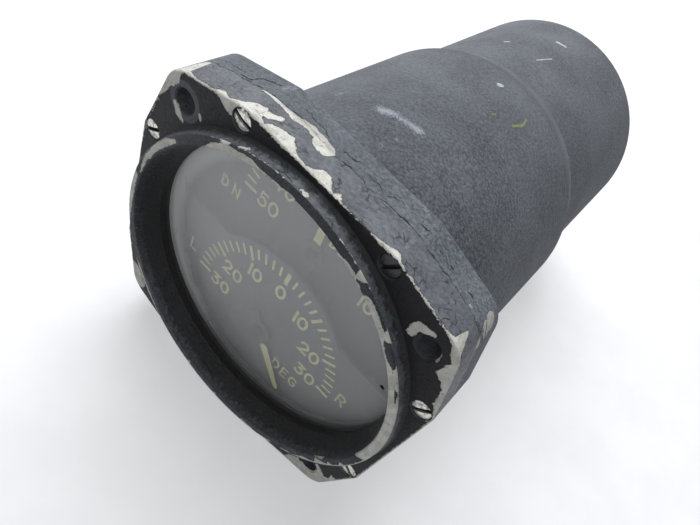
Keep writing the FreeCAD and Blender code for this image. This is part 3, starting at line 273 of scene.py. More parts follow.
def worn_line(shader, place, start, end, first_radius, last_radius):
    """Distance in millimetres from a worn patch, less than 0 where the paint is gone."""
    start = Vector(start)
    along = Vector(end) - start
    offset = shader.vector("SUBTRACT", place, start)
    share = shader.vector("DOT_PRODUCT", offset, along / along.length_squared)
    share = shader.math("MULTIPLY", share, 1.0, clamp=True)
    nearest = shader.node("ShaderNodeVectorMath", along, operation="SCALE")
    shader.put(nearest.inputs["Scale"], share)
    distance = shader.vector("DISTANCE", offset, nearest.outputs["Vector"])
    radius = shader.math("MULTIPLY_ADD", share, last_radius - first_radius, first_radius)
    return shader.math("SUBTRACT", distance, radius)


def profile(shader, heading, rows):
    """Two widths in millimetres, read off rows by heading in degrees."""
    high, low = rows[0][0], rows[-1][0]
    share = shader.remap(heading, low, high, smooth=False)
    ramp = shader.node("ShaderNodeValToRGB", share)
    stops = ramp.color_ramp.elements
    stops.remove(stops[1])
    for index, (angle, first, second) in enumerate(reversed(rows)):
        place = (angle - low) / (high - low)
        if index == 0:
            stops[0].position = place
            stop = stops[0]
        else:
            stop = stops.new(place)
        stop.color = (first / PROFILE_REACH, second / PROFILE_REACH, 0.0, 1.0)
    split = shader.node("ShaderNodeSeparateColor", ramp.outputs["Color"])
    return [shader.math("MULTIPLY", split.outputs[index], PROFILE_REACH) for index in (0, 1)]


def least(shader, values):
    """The smallest of many values."""
    total = values[0]
    for value in values[1:]:
        total = shader.math("MINIMUM", total, value)
    return total


def choose(shader, heading, limit, above, below):
    """Each of two widths from above where the heading passes the limit, else from below."""
    passed = shader.math("GREATER_THAN", heading, limit)
    return [shader.blend(passed, low, high) for high, low in zip(above, below)]


def inward_of_outline(shader, across, up):
    """Distance in millimetres from the flange outline towards its middle."""
    across = shader.math("ABSOLUTE", across)
    up = shader.math("ABSOLUTE", up)
    more = shader.math("MAXIMUM", across, up)
    less = shader.math("MINIMUM", across, up)
    reaches = []
    for (first, second), reach in EDGE_SIDES:
        out = shader.math("MULTIPLY", less, first)
        out = shader.math("MULTIPLY_ADD", more, second, out)
        reaches.append(shader.math("SUBTRACT", reach, out))
    return least(shader, reaches)


def heading_of(shader):
    """Heading in degrees, distance back from the flange face and radius in millimetres."""
    split = shader.node("ShaderNodeSeparateXYZ", shader.place)
    turn = shader.math("ARCTAN2", split.outputs[2], split.outputs[0])
    heading = shader.math("MULTIPLY", turn, 180.0 / math.pi)
    flat = shader.vector("MULTIPLY", shader.place, (1.0, 0.0, 1.0))
    return heading, split.outputs[1], shader.vector("LENGTH", flat)


def flange_cracks(shader, back, radius):
    """Long cracks that wander along the seam and the middle of the case half, 0 to 1."""
    flat = shader.stretch((1.0, 0.25, 1.0))
    wander = shader.math("SUBTRACT", shader.noise(0.22, 4.0, 0.7, place=flat), 0.5)
    width = shader.remap(shader.noise(0.5, 3.0, 0.6, place=flat), 0.36, 0.66, -0.02, 0.15)
    broken = shader.remap(shader.noise(0.09, 2.0, 0.5), 0.44, 0.50)
    cracks = []
    for depth, sway, share in ((7.5, 3.2, None), (9.7, 5.0, broken)):
        line = shader.math("MULTIPLY_ADD", wander, sway, depth)
        apart = shader.math("ABSOLUTE", shader.math("SUBTRACT", back, line))
        crack = shader.remap(shader.math("SUBTRACT", width, apart), -0.06, 0.06)
        if share is not None:
            crack = shader.math("MULTIPLY", crack, share)
        cracks.append(crack)
    crack = shader.math("MAXIMUM", cracks[0], cracks[1])
    return shader.math("MULTIPLY", crack, shader.math("GREATER_THAN", radius, 40.9))


def cover_wear(shader, front):
    """Distance in millimetres from the bare places of the cover, less than 0 on them."""
    split = shader.node("ShaderNodeSeparateXYZ", shader.place)
    across, up = split.outputs[0], split.outputs[2]
    heading, back, radius = heading_of(shader)
    nicks = shader.remap(shader.noise(0.35, 3.0, 0.6), 0.42, 0.72, 0.1, 1.3)
    elsewhere = [nicks, shader.math("MULTIPLY", nicks, 0.8)]
    edge = choose(shader, heading, 96.0, profile(shader, heading, EDGE_UPPER_LEFT),
                  profile(shader, heading, EDGE_UPPER_RIGHT))
    edge = choose(shader, heading, 44.6, edge, profile(shader, heading, EDGE_RIGHT))
    edge = choose(shader, heading, -64.0, edge, elsewhere)
    edge = choose(shader, heading, 144.5, elsewhere, edge)
    inward = inward_of_outline(shader, across, up)
    off_side = shader.math("SUBTRACT", inward, SIDE_REACH)
    on_side = shader.math("MAXIMUM", shader.math("SUBTRACT", back, edge[0]), off_side)
    on_face = shader.math("SUBTRACT", inward, edge[1])
    beyond_face = shader.math("LESS_THAN", back, -0.3)
    on_face = shader.math("MULTIPLY_ADD", beyond_face, 50.0, on_face)
    at_edge = shader.blend(front, on_side, on_face)

    seam = profile(shader, heading, SEAM_WEAR)[0]
    at_seam = shader.math("SUBTRACT", shader.math("SUBTRACT", SEAM_Y + SOUND, back), seam)
    at_seam = shader.math("MAXIMUM", at_seam, off_side)

    rim = choose(shader, heading, 61.0, profile(shader, heading, RIM_UPPER),
                 profile(shader, heading, RIM_LOWER))
    rim = choose(shader, heading, -46.0, rim, profile(shader, heading, RIM_LEFT))
    rim_outer = shader.math("SUBTRACT", RIM_OUTER_RADIUS, radius)
    rim_inner = shader.math("SUBTRACT", radius, RIM_INNER_RADIUS)
    rim_outer = shader.math("SUBTRACT", rim_outer, rim[0])
    rim_inner = shader.math("SUBTRACT", rim_inner, rim[1])
    at_rim = shader.math("MINIMUM", rim_outer, rim_inner)
    at_rim = shader.math("MULTIPLY_ADD", at_rim, 1.5, SOUND)
    off_rim = shader.math("GREATER_THAN", back, -2.55)
    at_rim = shader.math("MULTIPLY_ADD", off_rim, 50.0, at_rim)

    patches = [worn_line(shader, shader.place, *patch) for patch in COVER_PATCHES]
    return least(shader, [at_edge, at_seam, at_rim] + patches)


def bare_metal_colour(shader):
    """Primer and dull metal under the paint, with brown stains."""
    cloud = shader.remap(shader.noise(0.45, 4.0, 0.6), 0.35, 0.65)
    stain = shader.remap(shader.noise(1.3, 3.0, 0.7), 0.56, 0.72)
    base = shader.mix(cloud, (0.52, 0.515, 0.48), (0.68, 0.675, 0.64))
    return shader.mix(stain, base, (0.30, 0.265, 0.20))


# The panel hole round which a lighter grey ring is painted, as painted light on its chamfer
LIGHT_RINGED_HOLE = (-31.43, 0.0, 31.43)


def black_enamel():
    """Old black enamel on the front cover, chipped to bare metal along its edges."""
    shader = Shader("black_enamel")
    facing = shader.node("ShaderNodeSeparateXYZ", shader.normal).outputs[1]
    front = shader.remap(facing, -0.35, -0.85)
    ragged = shader.math("SUBTRACT", shader.noise(0.9, 3.0, 0.65), 0.5)
    fine = shader.math("SUBTRACT", shader.noise(3.2, 2.0, 0.6), 0.5)
    distance = cover_wear(shader, front)
    distance = shader.math("MULTIPLY_ADD", ragged, 1.1, distance)
    distance = shader.math("MULTIPLY_ADD", fine, 0.9, distance)
    bare = shader.remap(distance, 0.04, -0.04)
    lip = shader.remap(distance, 0.30, 0.05)

    cloud = shader.remap(shader.noise(0.22, 4.0, 0.6), 0.3, 0.7)
    mottle = shader.remap(shader.noise(1.3, 4.0, 0.7), 0.32, 0.68)
    shade = shader.math("MULTIPLY_ADD", mottle, 0.6, shader.math("MULTIPLY", cloud, 0.4))
    # Painted light: lit and shaded copies of one black paint, chosen by facing; the sides and the
    # ring's outer wall carry a painted sheen, the front face painted shade
    sheen_lit_side_paint = shader.mix(shade, (0.054, 0.062, 0.073), (0.148, 0.164, 0.187))
    shaded_face_paint = shader.mix(shade, (0.004, 0.004, 0.005), (0.014, 0.014, 0.016))
    rim_paint_worn_and_lit = shader.mix(shade, (0.012, 0.014, 0.019), (0.052, 0.057, 0.070))
    heading, back, radius = heading_of(shader)
    polar = shader.node("ShaderNodeCombineXYZ", shader.math("MULTIPLY", heading, 3.0),
                        shader.math("MULTIPLY", radius, 0.5), shader.math("MULTIPLY", back, 0.5))
    streak = shader.noise(0.45, 2.0, 0.6, place=polar.outputs[0])
    streak = shader.math("MULTIPLY", shader.remap(streak, 0.52, 0.66), 0.7)
    rubbing_and_sheen = shader.remap(shader.noise(0.11, 3.0, 0.6), 0.47, 0.62)
    streak = shader.math("MULTIPLY", streak, rubbing_and_sheen)
    rim_paint_worn_and_lit = shader.mix(streak, rim_paint_worn_and_lit, (0.13, 0.135, 0.15))
    paint = shader.mix(front, sheen_lit_side_paint, shaded_face_paint)
    on_rim = shader.math("MULTIPLY", shader.remap(back, -2.3, -2.6), front)
    on_rim = shader.math("MAXIMUM", on_rim, shader.remap(radius, 37.6, 37.3))
    up = shader.node("ShaderNodeSeparateXYZ", shader.place).outputs[2]
    # Painted light: the inner cone is painted lighter towards the bottom, as if lit from above; the
    # rim streaks before this are real wear
    lower_cone_light = shader.remap(radius, 37.6, 37.3)
    lower_cone_light = shader.math("MULTIPLY", shader.remap(up, -5.0, -32.0), lower_cone_light)
    lower_cone_light = shader.math("MULTIPLY", lower_cone_light, shader.remap(mottle, 0.2, 0.8, 0.35, 1.0))
    rim_paint_worn_and_lit = shader.mix(lower_cone_light, rim_paint_worn_and_lit, (0.095, 0.10, 0.12))
    paint = shader.mix(on_rim, paint, rim_paint_worn_and_lit)
    foot = shader.math("MULTIPLY", shader.remap(back, 2.0, 2.3), shader.remap(radius, 37.0, 36.0))
    paint = shader.mix(foot, paint, (0.012, 0.011, 0.010))
    worn_foot = shader.math("ABSOLUTE", shader.math("SUBTRACT", back, 2.45))
    worn_foot = shader.math("MULTIPLY_ADD", ragged, 0.8, worn_foot)
    worn_foot = shader.math("MULTIPLY", shader.remap(worn_foot, 0.12, 0.02), foot)
    worn_foot = shader.math("MULTIPLY", worn_foot, shader.remap(cloud, 0.2, 0.8, 0.3, 0.9))
    paint = shader.mix(worn_foot, paint, (0.20, 0.18, 0.145))
    # Painted shade: a dark band painted round the root of the ring's outer wall, where it meets the
    # flange face
    root_shade = shader.math("MULTIPLY_ADD", ragged, 4.0, back)
    root_shade = shader.remap(root_shade, -2.0, -0.7)
    on_ring = shader.remap(radius, RING_ROOT_RADIUS + 0.3, RING_ROOT_RADIUS)
    root_shade = shader.math("MULTIPLY", root_shade, on_ring)
    paint = shader.mix(shader.math("MULTIPLY", root_shade, 0.9), paint, (0.009, 0.009, 0.009))
    sway = shader.node("ShaderNodeTexNoise", shader.place, None, 0.8).outputs["Color"]
    swayed = shader.vector("ADD", shader.place, shader.scaled(sway, 0.9))
    swayed = shader.stretch((0.45, 1.0, 0.45), swayed)
    cell = shader.cells(0.9, "DISTANCE_TO_EDGE", swayed)
    crack = shader.remap(cell, 0.0, 0.06, 0.8, 0.0)
    patchy = shader.remap(shader.noise(0.3, 3.0, 0.6), 0.50, 0.60)
    crack = shader.math("MULTIPLY", crack, patchy)
    crack = shader.math("MAXIMUM", crack, flange_cracks(shader, back, radius))
    paint = shader.mix(crack, paint, (0.010, 0.010, 0.012))
    paint = shader.mix(shader.math("MULTIPLY", lip, 0.55), paint, (0.01, 0.01, 0.011))
    # Painted light: a grey ring round the upper left panel hole, standing in for the lighter facing
    # of its chamfer
    hole_chamfer_light = shader.math("SUBTRACT", shader.vector("DISTANCE", shader.place, LIGHT_RINGED_HOLE), 3.35)
    hole_chamfer_light = shader.math("MULTIPLY_ADD", fine, 0.5, shader.math("ABSOLUTE", hole_chamfer_light))
    hole_chamfer_light = shader.math("MULTIPLY", shader.remap(hole_chamfer_light, 0.85, 0.65), front)
    paint = shader.mix(shader.math("MULTIPLY", hole_chamfer_light, 0.8), paint, (0.09, 0.095, 0.11))
    grain = shader.noise(1.5, 5.0, 0.75)
    height = shader.math("MULTIPLY_ADD", crack, -0.8, grain)
    height = shader.math("MULTIPLY_ADD", bare, -0.8, height)
    colour = shader.mix(bare, paint, bare_metal_colour(shader))
    rough = shader.blend(bare, shader.remap(grain, 0.3, 0.7, 0.38, 0.6), 0.7)
    return shader.finish(shader.principled(
        Base_Color=colour, Roughness=rough,
        Specular_IOR_Level=shader.blend(front, 0.25, 0.18),
        Normal=shader.bump(height, 0.8, 0.3)))


# Marks on the case: (start, end, radius at start, radius at end)
PALE_SCUFFS = [
    ((-9.0, 31.4, 37.4), (-6.4, 32.6, 38.0), 1.9, 1.6),
    ((-5.0, 32.6, 38.0), (-0.6, 33.2, 38.5), 1.3, 1.8),
    ((-1.0, 26.0, 38.5), (-0.4, 26.8, 38.5), 0.6, 0.5),
    ((-2.0, 21.2, 38.5), (-1.6, 21.8, 38.5), 0.6, 0.5),
    ((-19.4, 30.0, 33.3), (-18.9, 33.0, 33.6), 0.6, 0.4),
    ((13.4, 13.7, 41.2), (15.4, 13.6, 41.2), 0.7, 0.5),
    ((-19.4, 11.0, 40.9), (-18.4, 12.9, 41.2), 0.8, 0.6),
]
PALE_MARKS = [
    ((-5.6, 120.4, 35.6), (-3.0, 120.8, 35.9), 0.55, 0.5),
    ((-1.0, 70.1, 38.5), (-0.6, 70.6, 38.5), 0.7, 0.65),
    ((-15.0, 103.4, 32.8), (-14.2, 104.6, 33.2), 0.35, 0.3),
    ((-3.5, 100.5, 35.9), (-1.5, 107.3, 36.0), 0.16, 0.2),
    ((31.2, 8.0, 37.6), (36.4, 8.4, 34.5), 0.12, 0.2),
    ((35.3, 11.3, 35.7), (36.2, 10.9, 34.7), 1.2, 0.9),
    ((35.7, 9.6, 35.4), (36.6, 9.2, 34.1), 1.1, 0.8),
]
YELLOW_MARKS = [
    ((9.3, 61.6, 37.4), (10.5, 65.4, 37.0), 0.45, 0.4),
    ((10.5, 65.4, 37.0), (9.9, 68.4, 37.2), 0.4, 0.3),
    ((4.8, 58.2, 38.2), (5.0, 58.7, 38.2), 0.3, 0.3),
]
CASE_CRACKS = [
    ((-27.0, 8.1, 38.8), (-24.9, 8.1, 39.3), 0.16, 0.2),
    ((-24.9, 8.1, 39.3), (-24.1, 10.4, 39.6), 0.2, 0.14),
    ((-24.1, 10.4, 39.6), (-20.5, 11.4, 40.6), 0.14, 0.2),
]


# Where the case steps down to the rear case, painted darker all round as painted shade
SHOULDER_BACK = 78.5


def wrinkle_enamel(name, dark, light, level):
    """Fine wrinkle paint of the case, scuffed, marked, chipped and cracked in places."""
    shader = Shader(name)
    heading, back, radius = heading_of(shader)
    cloud = shader.remap(shader.noise(0.06, 4.0, 0.6), 0.3, 0.7)
    grain = shader.noise(1.3, 5.0, 0.85)
    coarse = shader.math("MULTIPLY", shader.remap(back, 75.0, 25.0),
                         shader.remap(heading, 105.0, 70.0))
    crest = shader.cells(1.4, "SMOOTH_F1")
    height = shader.math("MULTIPLY_ADD", crest, 0.3, grain)
    low = shader.blend(coarse, 0.34, 0.42)
    high = shader.blend(coarse, 0.66, 0.58)
    mottle = shader.remap(grain, low, high)
    shade = shader.math("MULTIPLY_ADD", mottle, 0.7, shader.math("MULTIPLY", cloud, 0.3))
    paint = shader.mix(shade, dark, light)
    on_flange = shader.math("GREATER_THAN", radius, 40.9)
    # Painted light: the flange part of the case is painted a lighter copy of its paint, as painted
    # sheen like the cover's lit sides
    rubbing_and_sheen = shader.mix(shade, (0.078, 0.088, 0.104), (0.220, 0.245, 0.280))
    paint = shader.mix(on_flange, paint, rubbing_and_sheen)
    dust = shader.remap(grain, 0.60, 0.70)
    paint = shader.mix(shader.math("MULTIPLY", dust, 0.5), paint, (0.24, 0.26, 0.28))
    # Painted shade: darker paint in a band round the step to the rear case
    shoulder_shade = shader.math("ABSOLUTE", shader.math("SUBTRACT", back, SHOULDER_BACK))
    shoulder_shade = shader.remap(shoulder_shade, 3.0, 1.0, 0.0, 0.35)
    paint = shader.mix(shoulder_shade, paint, dark)

    speckle = shader.noise(1.9, 4.0, 0.7)
    fleck = shader.noise(3.2, 3.0, 0.7)
    scuff = least(shader, [worn_line(shader, shader.place, *mark) for mark in PALE_SCUFFS])
    scuff = shader.math("MULTIPLY_ADD", fleck, 8.0, scuff)
    scuff = shader.remap(scuff, 3.4, 2.9)
    mark = least(shader, [worn_line(shader, shader.place, *mark) for mark in PALE_MARKS])
    mark = shader.remap(shader.math("MULTIPLY_ADD", speckle, 0.8, mark), 0.46, 0.36)
    yellow = least(shader, [worn_line(shader, shader.place, *mark) for mark in YELLOW_MARKS])
    yellow = shader.remap(shader.math("MULTIPLY_ADD", speckle, 1.4, yellow), 0.72, 0.5)
    crack = least(shader, [worn_line(shader, shader.place, *mark) for mark in CASE_CRACKS])
    crack = shader.remap(shader.math("MULTIPLY_ADD", speckle, 0.9, crack), 0.48, 0.36)
    crack = shader.math("MAXIMUM", crack, flange_cracks(shader, back, radius))
    paint = shader.mix(shader.math("MULTIPLY", scuff, 0.7), paint, (0.46, 0.50, 0.58))
    paint = shader.mix(shader.math("MULTIPLY", mark, 0.9), paint, (0.58, 0.57, 0.53))
    paint = shader.mix(shader.math("MULTIPLY", yellow, 0.7), paint, (0.30, 0.33, 0.06))
    paint = shader.mix(crack, paint, (0.010, 0.009, 0.008))
    seam = shader.math("SUBTRACT", back, profile(shader, heading, SEAM_WEAR)[1])
    seam = shader.math("MULTIPLY_ADD", shader.noise(0.9, 3.0, 0.65), 1.1, seam)
    bare = shader.remap(seam, SEAM_Y - SOUND + 0.59, SEAM_Y - SOUND + 0.51)
    bare = shader.math("MULTIPLY", bare, on_flange)
    paint = shader.mix(bare, paint, bare_metal_colour(shader))
    height = shader.math("MULTIPLY_ADD", crack, -0.6, height)
    rough = shader.remap(grain, 0.3, 0.7, 0.46, 0.66)
    return shader.finish(shader.principled(
        Base_Color=paint, Roughness=rough, Specular_IOR_Level=0.14,
        Normal=shader.bump(height, level, 0.5)))


# How light the stained places of a plain metal are, next to its clean places
STAINED_SHARE = 0.75


def dull_metal(name, base, rough, metallic=1.0, brushed=(1.0, 1.0, 1.0)):
    """A machined or plated metal with fine marks and slight staining."""
    shader = Shader(name)
    marks = shader.noise(3.0, 4.0, 0.65, place=shader.stretch(brushed))
    cloud = shader.remap(shader.noise(0.5, 3.0, 0.6), 0.3, 0.7)
    shade = tuple(channel * STAINED_SHARE for channel in base)
    colour = shader.mix(cloud, base, shade)
    roughness = shader.remap(marks, 0.3, 0.7, rough - 0.08, rough + 0.12)
    return shader.finish(shader.principled(
        Base_Color=colour, Metallic=metallic, Roughness=roughness,
        Normal=shader.bump(marks, 0.25, 0.02)))


PAINTED_SCREW = (18.0, 0.0, 38.6)


def cover_screw_metal():
    """Bright screw heads, darkened round their rims and in their slots by painted shade, with
    patches of dirt; one is still under the black paint.
    """
    shader = Shader("cover_screw_metal")
    marks = shader.noise(2.5, 4.0, 0.65)
    painted = shader.vector("DISTANCE", shader.place, PAINTED_SCREW)
    painted = shader.remap(painted, 3.6, 3.2)
    dirt_and_shade = shader.remap(shader.noise(1.2, 3.0, 0.7), 0.48, 0.62)
    folded = shader.node("ShaderNodeSeparateXYZ", shader.vector("ABSOLUTE", shader.place))
    more = shader.math("MAXIMUM", folded.outputs[0], folded.outputs[2])
    less = shader.math("MINIMUM", folded.outputs[0], folded.outputs[2])
    first = shader.node("ShaderNodeCombineXYZ", less, 0.0, more).outputs[0]
    # Painted shade: the heads are painted dark round their rims and down in their slots, as shade
    # in the recesses
    edge = shader.vector("DISTANCE", first, PAINTED_SCREW)
    edge = shader.remap(shader.math("MULTIPLY_ADD", dirt_and_shade, 0.4, edge), 1.95, 2.35)
    depth = shader.node("ShaderNodeSeparateXYZ", shader.place).outputs[1]
    recess_shade = shader.math("MAXIMUM", shader.remap(depth, 0.35, 0.75), edge)
    dirt_and_shade = shader.math("MAXIMUM", shader.math("MULTIPLY", dirt_and_shade, 0.6), recess_shade)
    bright = shader.mix(dirt_and_shade, (0.80, 0.79, 0.74), (0.02, 0.019, 0.017))
    colour = shader.mix(painted, bright, (0.016, 0.016, 0.018))
    metallic = shader.blend(painted, shader.blend(dirt_and_shade, 0.75, 0.1), 0.0)
    return shader.finish(shader.principled(
        Base_Color=colour, Metallic=metallic,
        Roughness=shader.remap(marks, 0.3, 0.7, 0.34, 0.5),
        Normal=shader.bump(marks, 0.3, 0.03)))


def moulded(name, dark, light, rough, scale=1.5, level=0.25):
    """Rubber, phenolic, fabric or paint with a fine grain."""
    shader = Shader(name)
    cloud = shader.remap(shader.noise(scale * 0.3, 4.0, 0.6), 0.3, 0.7)
    grain = shader.noise(scale * 3.0, 4.0, 0.6)
    return shader.finish(shader.principled(
        Base_Color=shader.mix(cloud, dark, light),
        Roughness=shader.remap(grain, 0.3, 0.7, rough - 0.1, rough + 0.1),
        Normal=shader.bump(grain, level, 0.04)))


GLASS_IOR = 1.5
GLASS_SPOT = (30.85, 5.5, 6.4)


def window_glass():
    """Clear glass with a dull film on both faces; shadow and diffuse rays pass through."""
    shader = Shader("clear_glass")
    fresnel = shader.node("ShaderNodeFresnel", GLASS_IOR)
    bent = shader.node("ShaderNodeBsdfRefraction", None, 0.0, GLASS_IOR)
    smear = shader.noise(0.15, 3.0, 0.55, place=shader.stretch((1.0, 1.0, 0.35)))
    gloss = shader.node("ShaderNodeBsdfGlossy", None, shader.remap(smear, 0.3, 0.7, 0.24, 0.36))
    pane = shader.node("ShaderNodeMixShader", fresnel.outputs[0], bent.outputs[0],
                       gloss.outputs[0])

    facing = shader.node("ShaderNodeSeparateXYZ", shader.normal).outputs[1]
    outside = shader.remap(facing, -0.5, -0.9)
    flat = shader.remap(shader.math("ABSOLUTE", facing), 0.5, 0.9)
    # Painted light: the film is thicker towards the upper left and in a band along the left edge,
    # so it shows lighter there, as painted light; the smear adds real dust
    slant = shader.vector("DOT_PRODUCT", shader.place, (-0.7071, 0.0, 0.7071))
    amount = shader.remap(slant, -34.0, 34.0, 0.07, 0.165)
    amount = shader.math("MULTIPLY_ADD", smear, 0.04, amount)
    across = shader.node("ShaderNodeSeparateXYZ", shader.place).outputs[0]
    left_edge_light = shader.math("MULTIPLY", shader.remap(across, -6.0, -26.0),
                       shader.remap(heading_of(shader)[2], 30.0, 33.0, 0.0, 0.16))
    amount = shader.math("ADD", amount, left_edge_light)
    amount = shader.math("MULTIPLY", amount, flat)
    spot = shader.vector("DISTANCE", shader.place, GLASS_SPOT)
    spot = shader.math("MULTIPLY_ADD", shader.noise(2.5, 2.0), 0.5, spot)
    spot = shader.remap(spot, 0.95, 0.80)
    grit = shader.remap(shader.noise(1.3, 2.0, 0.8), 0.80, 0.83)
    spot = shader.math("MAXIMUM", spot, shader.math("MULTIPLY", grit, 0.5))
    spot = shader.math("MULTIPLY", spot, outside)
    film_colour = shader.mix(spot, (0.96, 0.99, 1.0), (0.01, 0.01, 0.01))
    film = shader.node("ShaderNodeBsdfDiffuse", film_colour)
    hidden = shader.math("MAXIMUM", amount, spot)
    dusty = shader.node("ShaderNodeMixShader", hidden, pane.outputs[0], film.outputs[0])

    clear = shader.node("ShaderNodeBsdfTransparent")
    path = shader.node("ShaderNodeLightPath")
    through = shader.math("MAXIMUM", path.outputs["Is Shadow Ray"], path.outputs["Is Diffuse Ray"])
    mixed = shader.node("ShaderNodeMixShader", through, dusty.outputs[0], clear.outputs[0])
    return shader.finish(mixed.outputs[0])


def lume_paint(name, dark, light):
    """Aged luminous paint, slightly grainy and stained."""
    shader = Shader(name)
    cloud = shader.remap(shader.noise(0.35, 4.0, 0.65), 0.3, 0.7)
    grain = shader.noise(5.0, 3.0, 0.7)
    speck = shader.remap(shader.noise(2.2, 3.0, 0.7), 0.66, 0.78)
    colour = shader.mix(cloud, dark, light)
    colour = shader.mix(speck, colour, (dark[0] * 0.6, dark[1] * 0.6, dark[2] * 0.5))
    return shader.finish(shader.principled(
        Base_Color=colour, Roughness=0.85, Specular_IOR_Level=0.2,
        Normal=shader.bump(grain, 0.3, 0.03)))


def make_materials():
    """All materials by name."""
    return {
        "cover": black_enamel(),
        "case": wrinkle_enamel("case_enamel", (0.046, 0.051, 0.061),
                               (0.180, 0.199, 0.228), 1.0),
        "screw": dull_metal("bare_screw", (0.72, 0.71, 0.68), 0.42, 0.85),
        "cover_screw": cover_screw_metal(),
        "glass": window_glass(),
        "dial": moulded("dial_paint", (0.056, 0.065, 0.074), (0.072, 0.082, 0.092),
                        0.8, 2.0, 0.15),
        "rubber": moulded("seal_rubber", (0.012, 0.012, 0.012), (0.024, 0.023, 0.022),
                          0.8),
        "pointer": moulded("pointer_paint", (0.054, 0.060, 0.064),
                           (0.070, 0.077, 0.082), 0.8),
        "blued": dull_metal("blued_steel", (0.05, 0.052, 0.058), 0.45),
        "steel": dull_metal("shaft_steel", (0.56, 0.57, 0.58), 0.28),
        "aluminium": dull_metal("plain_aluminium", (0.66, 0.67, 0.68), 0.4),
        "iron": dull_metal("core_iron", (0.22, 0.22, 0.23), 0.5),
        "coil": dull_metal("coil_wire", (0.55, 0.22, 0.09), 0.4,
                           brushed=(1.0, 9.0, 1.0)),
        "phenolic": moulded("brown_phenolic", (0.085, 0.035, 0.016),
                            (0.13, 0.058, 0.028), 0.45),
        "sleeve": moulded("sleeve_fabric", (0.35, 0.30, 0.20), (0.46, 0.41, 0.29),
                          0.9, 4.0, 0.6),
        "silver": dull_metal("slip_silver", (0.78, 0.77, 0.73), 0.25),
        "shell": dull_metal("shell_finish", (0.42, 0.41, 0.35), 0.45, 0.9),
        "lume": lume_paint("lume_paint", (0.60, 0.56, 0.27), (0.74, 0.70, 0.38)),
    }


NODE_FINISH = {
    "front_cover": "cover", "front_case": "case", "rear_case": "case",
    "cover_screws": "cover_screw", "plate_screws": "screw", "clamp_screws": "screw",
    "rear_screws": "screw", "receptacle_screws": "screw", "window_glass": "glass",
    "azimuth_dial": "dial", "elevation_dial": "dial", "spacer_ring": "dial",
    "front_gasket": "rubber", "rear_gasket": "rubber", "receptacle_gasket": "rubber",
    "mounting_plate": "aluminium", "movement_clamps": "aluminium", "dial_posts": "dial",
    "rear_posts": "aluminium", "receptacle_shell": "shell", "receptacle_insert": "phenolic",
    "receptacle_pins": "silver", "lead_sleeves": "sleeve",
}
MOVEMENT_FINISH = {
    "housing": "aluminium", "end_cap": "aluminium", "lead_cap": "phenolic",
    "bearings": "steel", "stator": "iron", "stator_coils": "coil", "brushes": "silver",
    "rotor": "iron", "rotor_coils": "coil", "shaft": "blued", "hub": "pointer",
    "slip_rings": "silver", "pointer": "pointer",
}


def dress_cad(materials):
    """Give every CAD node its procedural finish."""
    finish = dict(NODE_FINISH)
    for movement in ("azimuth", "elevation"):
        for part, name in MOVEMENT_FINISH.items():
            finish["%s_%s" % (movement, part)] = name
    for node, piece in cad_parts.items():
        material = materials[finish[node]]
        if not piece.material_slots:
            piece.data.materials.append(None)
        for place in piece.material_slots:
            place.link = "OBJECT"
            place.material = material


def arc(centre_x, centre_z, radius_x, radius_z, start, end, steps=18):
    """Points along an elliptical arc, angles in degrees from the x axis."""
    points = []
    for index in range(steps + 1):
        angle = math.radians(start + (end - start) * index / steps)
        points.append((centre_x + radius_x * math.cos(angle),
                       centre_z + radius_z * math.sin(angle)))
    return points


# Centre lines of the printed characters, as shares of their height: width and strokes
GLYPHS = {
    "0": (0.64, [arc(0.32, 0.5, 0.32, 0.5, 0, 360, 36)]),
    "1": (0.0, [[(0.0, 0.0), (0.0, 1.0)]]),
    "2": (0.58, [arc(0.28, 0.71, 0.28, 0.29, 165, -38) + [(0.0, 0.0), (0.58, 0.0)]]),
    "3": (0.58, [[(0.03, 1.0), (0.55, 1.0), (0.24, 0.62)] + arc(0.26, 0.31, 0.30, 0.31, 80, -150)]),
    "4": (0.62, [[(0.46, 0.0), (0.46, 1.0), (0.0, 0.28), (0.62, 0.28)]]),
    "5": (0.56, [[(0.52, 1.0), (0.10, 1.0), (0.05, 0.55)]
                 + arc(0.25, 0.32, 0.31, 0.33, 125, -150)]),
    "L": (0.46, [[(0.0, 1.0), (0.0, 0.0), (0.46, 0.0)]]),
    "R": (0.56, [[(0.0, 0.0), (0.0, 1.0), (0.30, 1.0)]
                 + arc(0.30, 0.74, 0.24, 0.26, 90, -90) + [(0.0, 0.48)],
                 [(0.26, 0.48), (0.56, 0.0)]]),
    "U": (0.56, [[(0.0, 1.0), (0.0, 0.28)] + arc(0.28, 0.28, 0.28, 0.28, 180, 360)
                 + [(0.56, 1.0)]]),
    "P": (0.52, [[(0.0, 0.0), (0.0, 1.0), (0.28, 1.0)]
                 + arc(0.28, 0.73, 0.24, 0.27, 90, -90) + [(0.0, 0.46)]]),
    "D": (0.56, [[(0.0, 0.0), (0.0, 1.0), (0.18, 1.0)]
                 + arc(0.18, 0.5, 0.38, 0.5, 90, -90) + [(0.0, 0.0)]]),
    "N": (0.60, [[(0.0, 0.0), (0.0, 1.0), (0.60, 0.0), (0.60, 1.0)]]),
    "E": (0.46, [[(0.46, 1.0), (0.0, 1.0), (0.0, 0.0), (0.46, 0.0)],
                 [(0.0, 0.52), (0.38, 0.52)]]),
    "G": (0.62, [arc(0.32, 0.5, 0.32, 0.5, 42, 318, 26) + [(0.57, 0.44), (0.36, 0.44)]]),
}


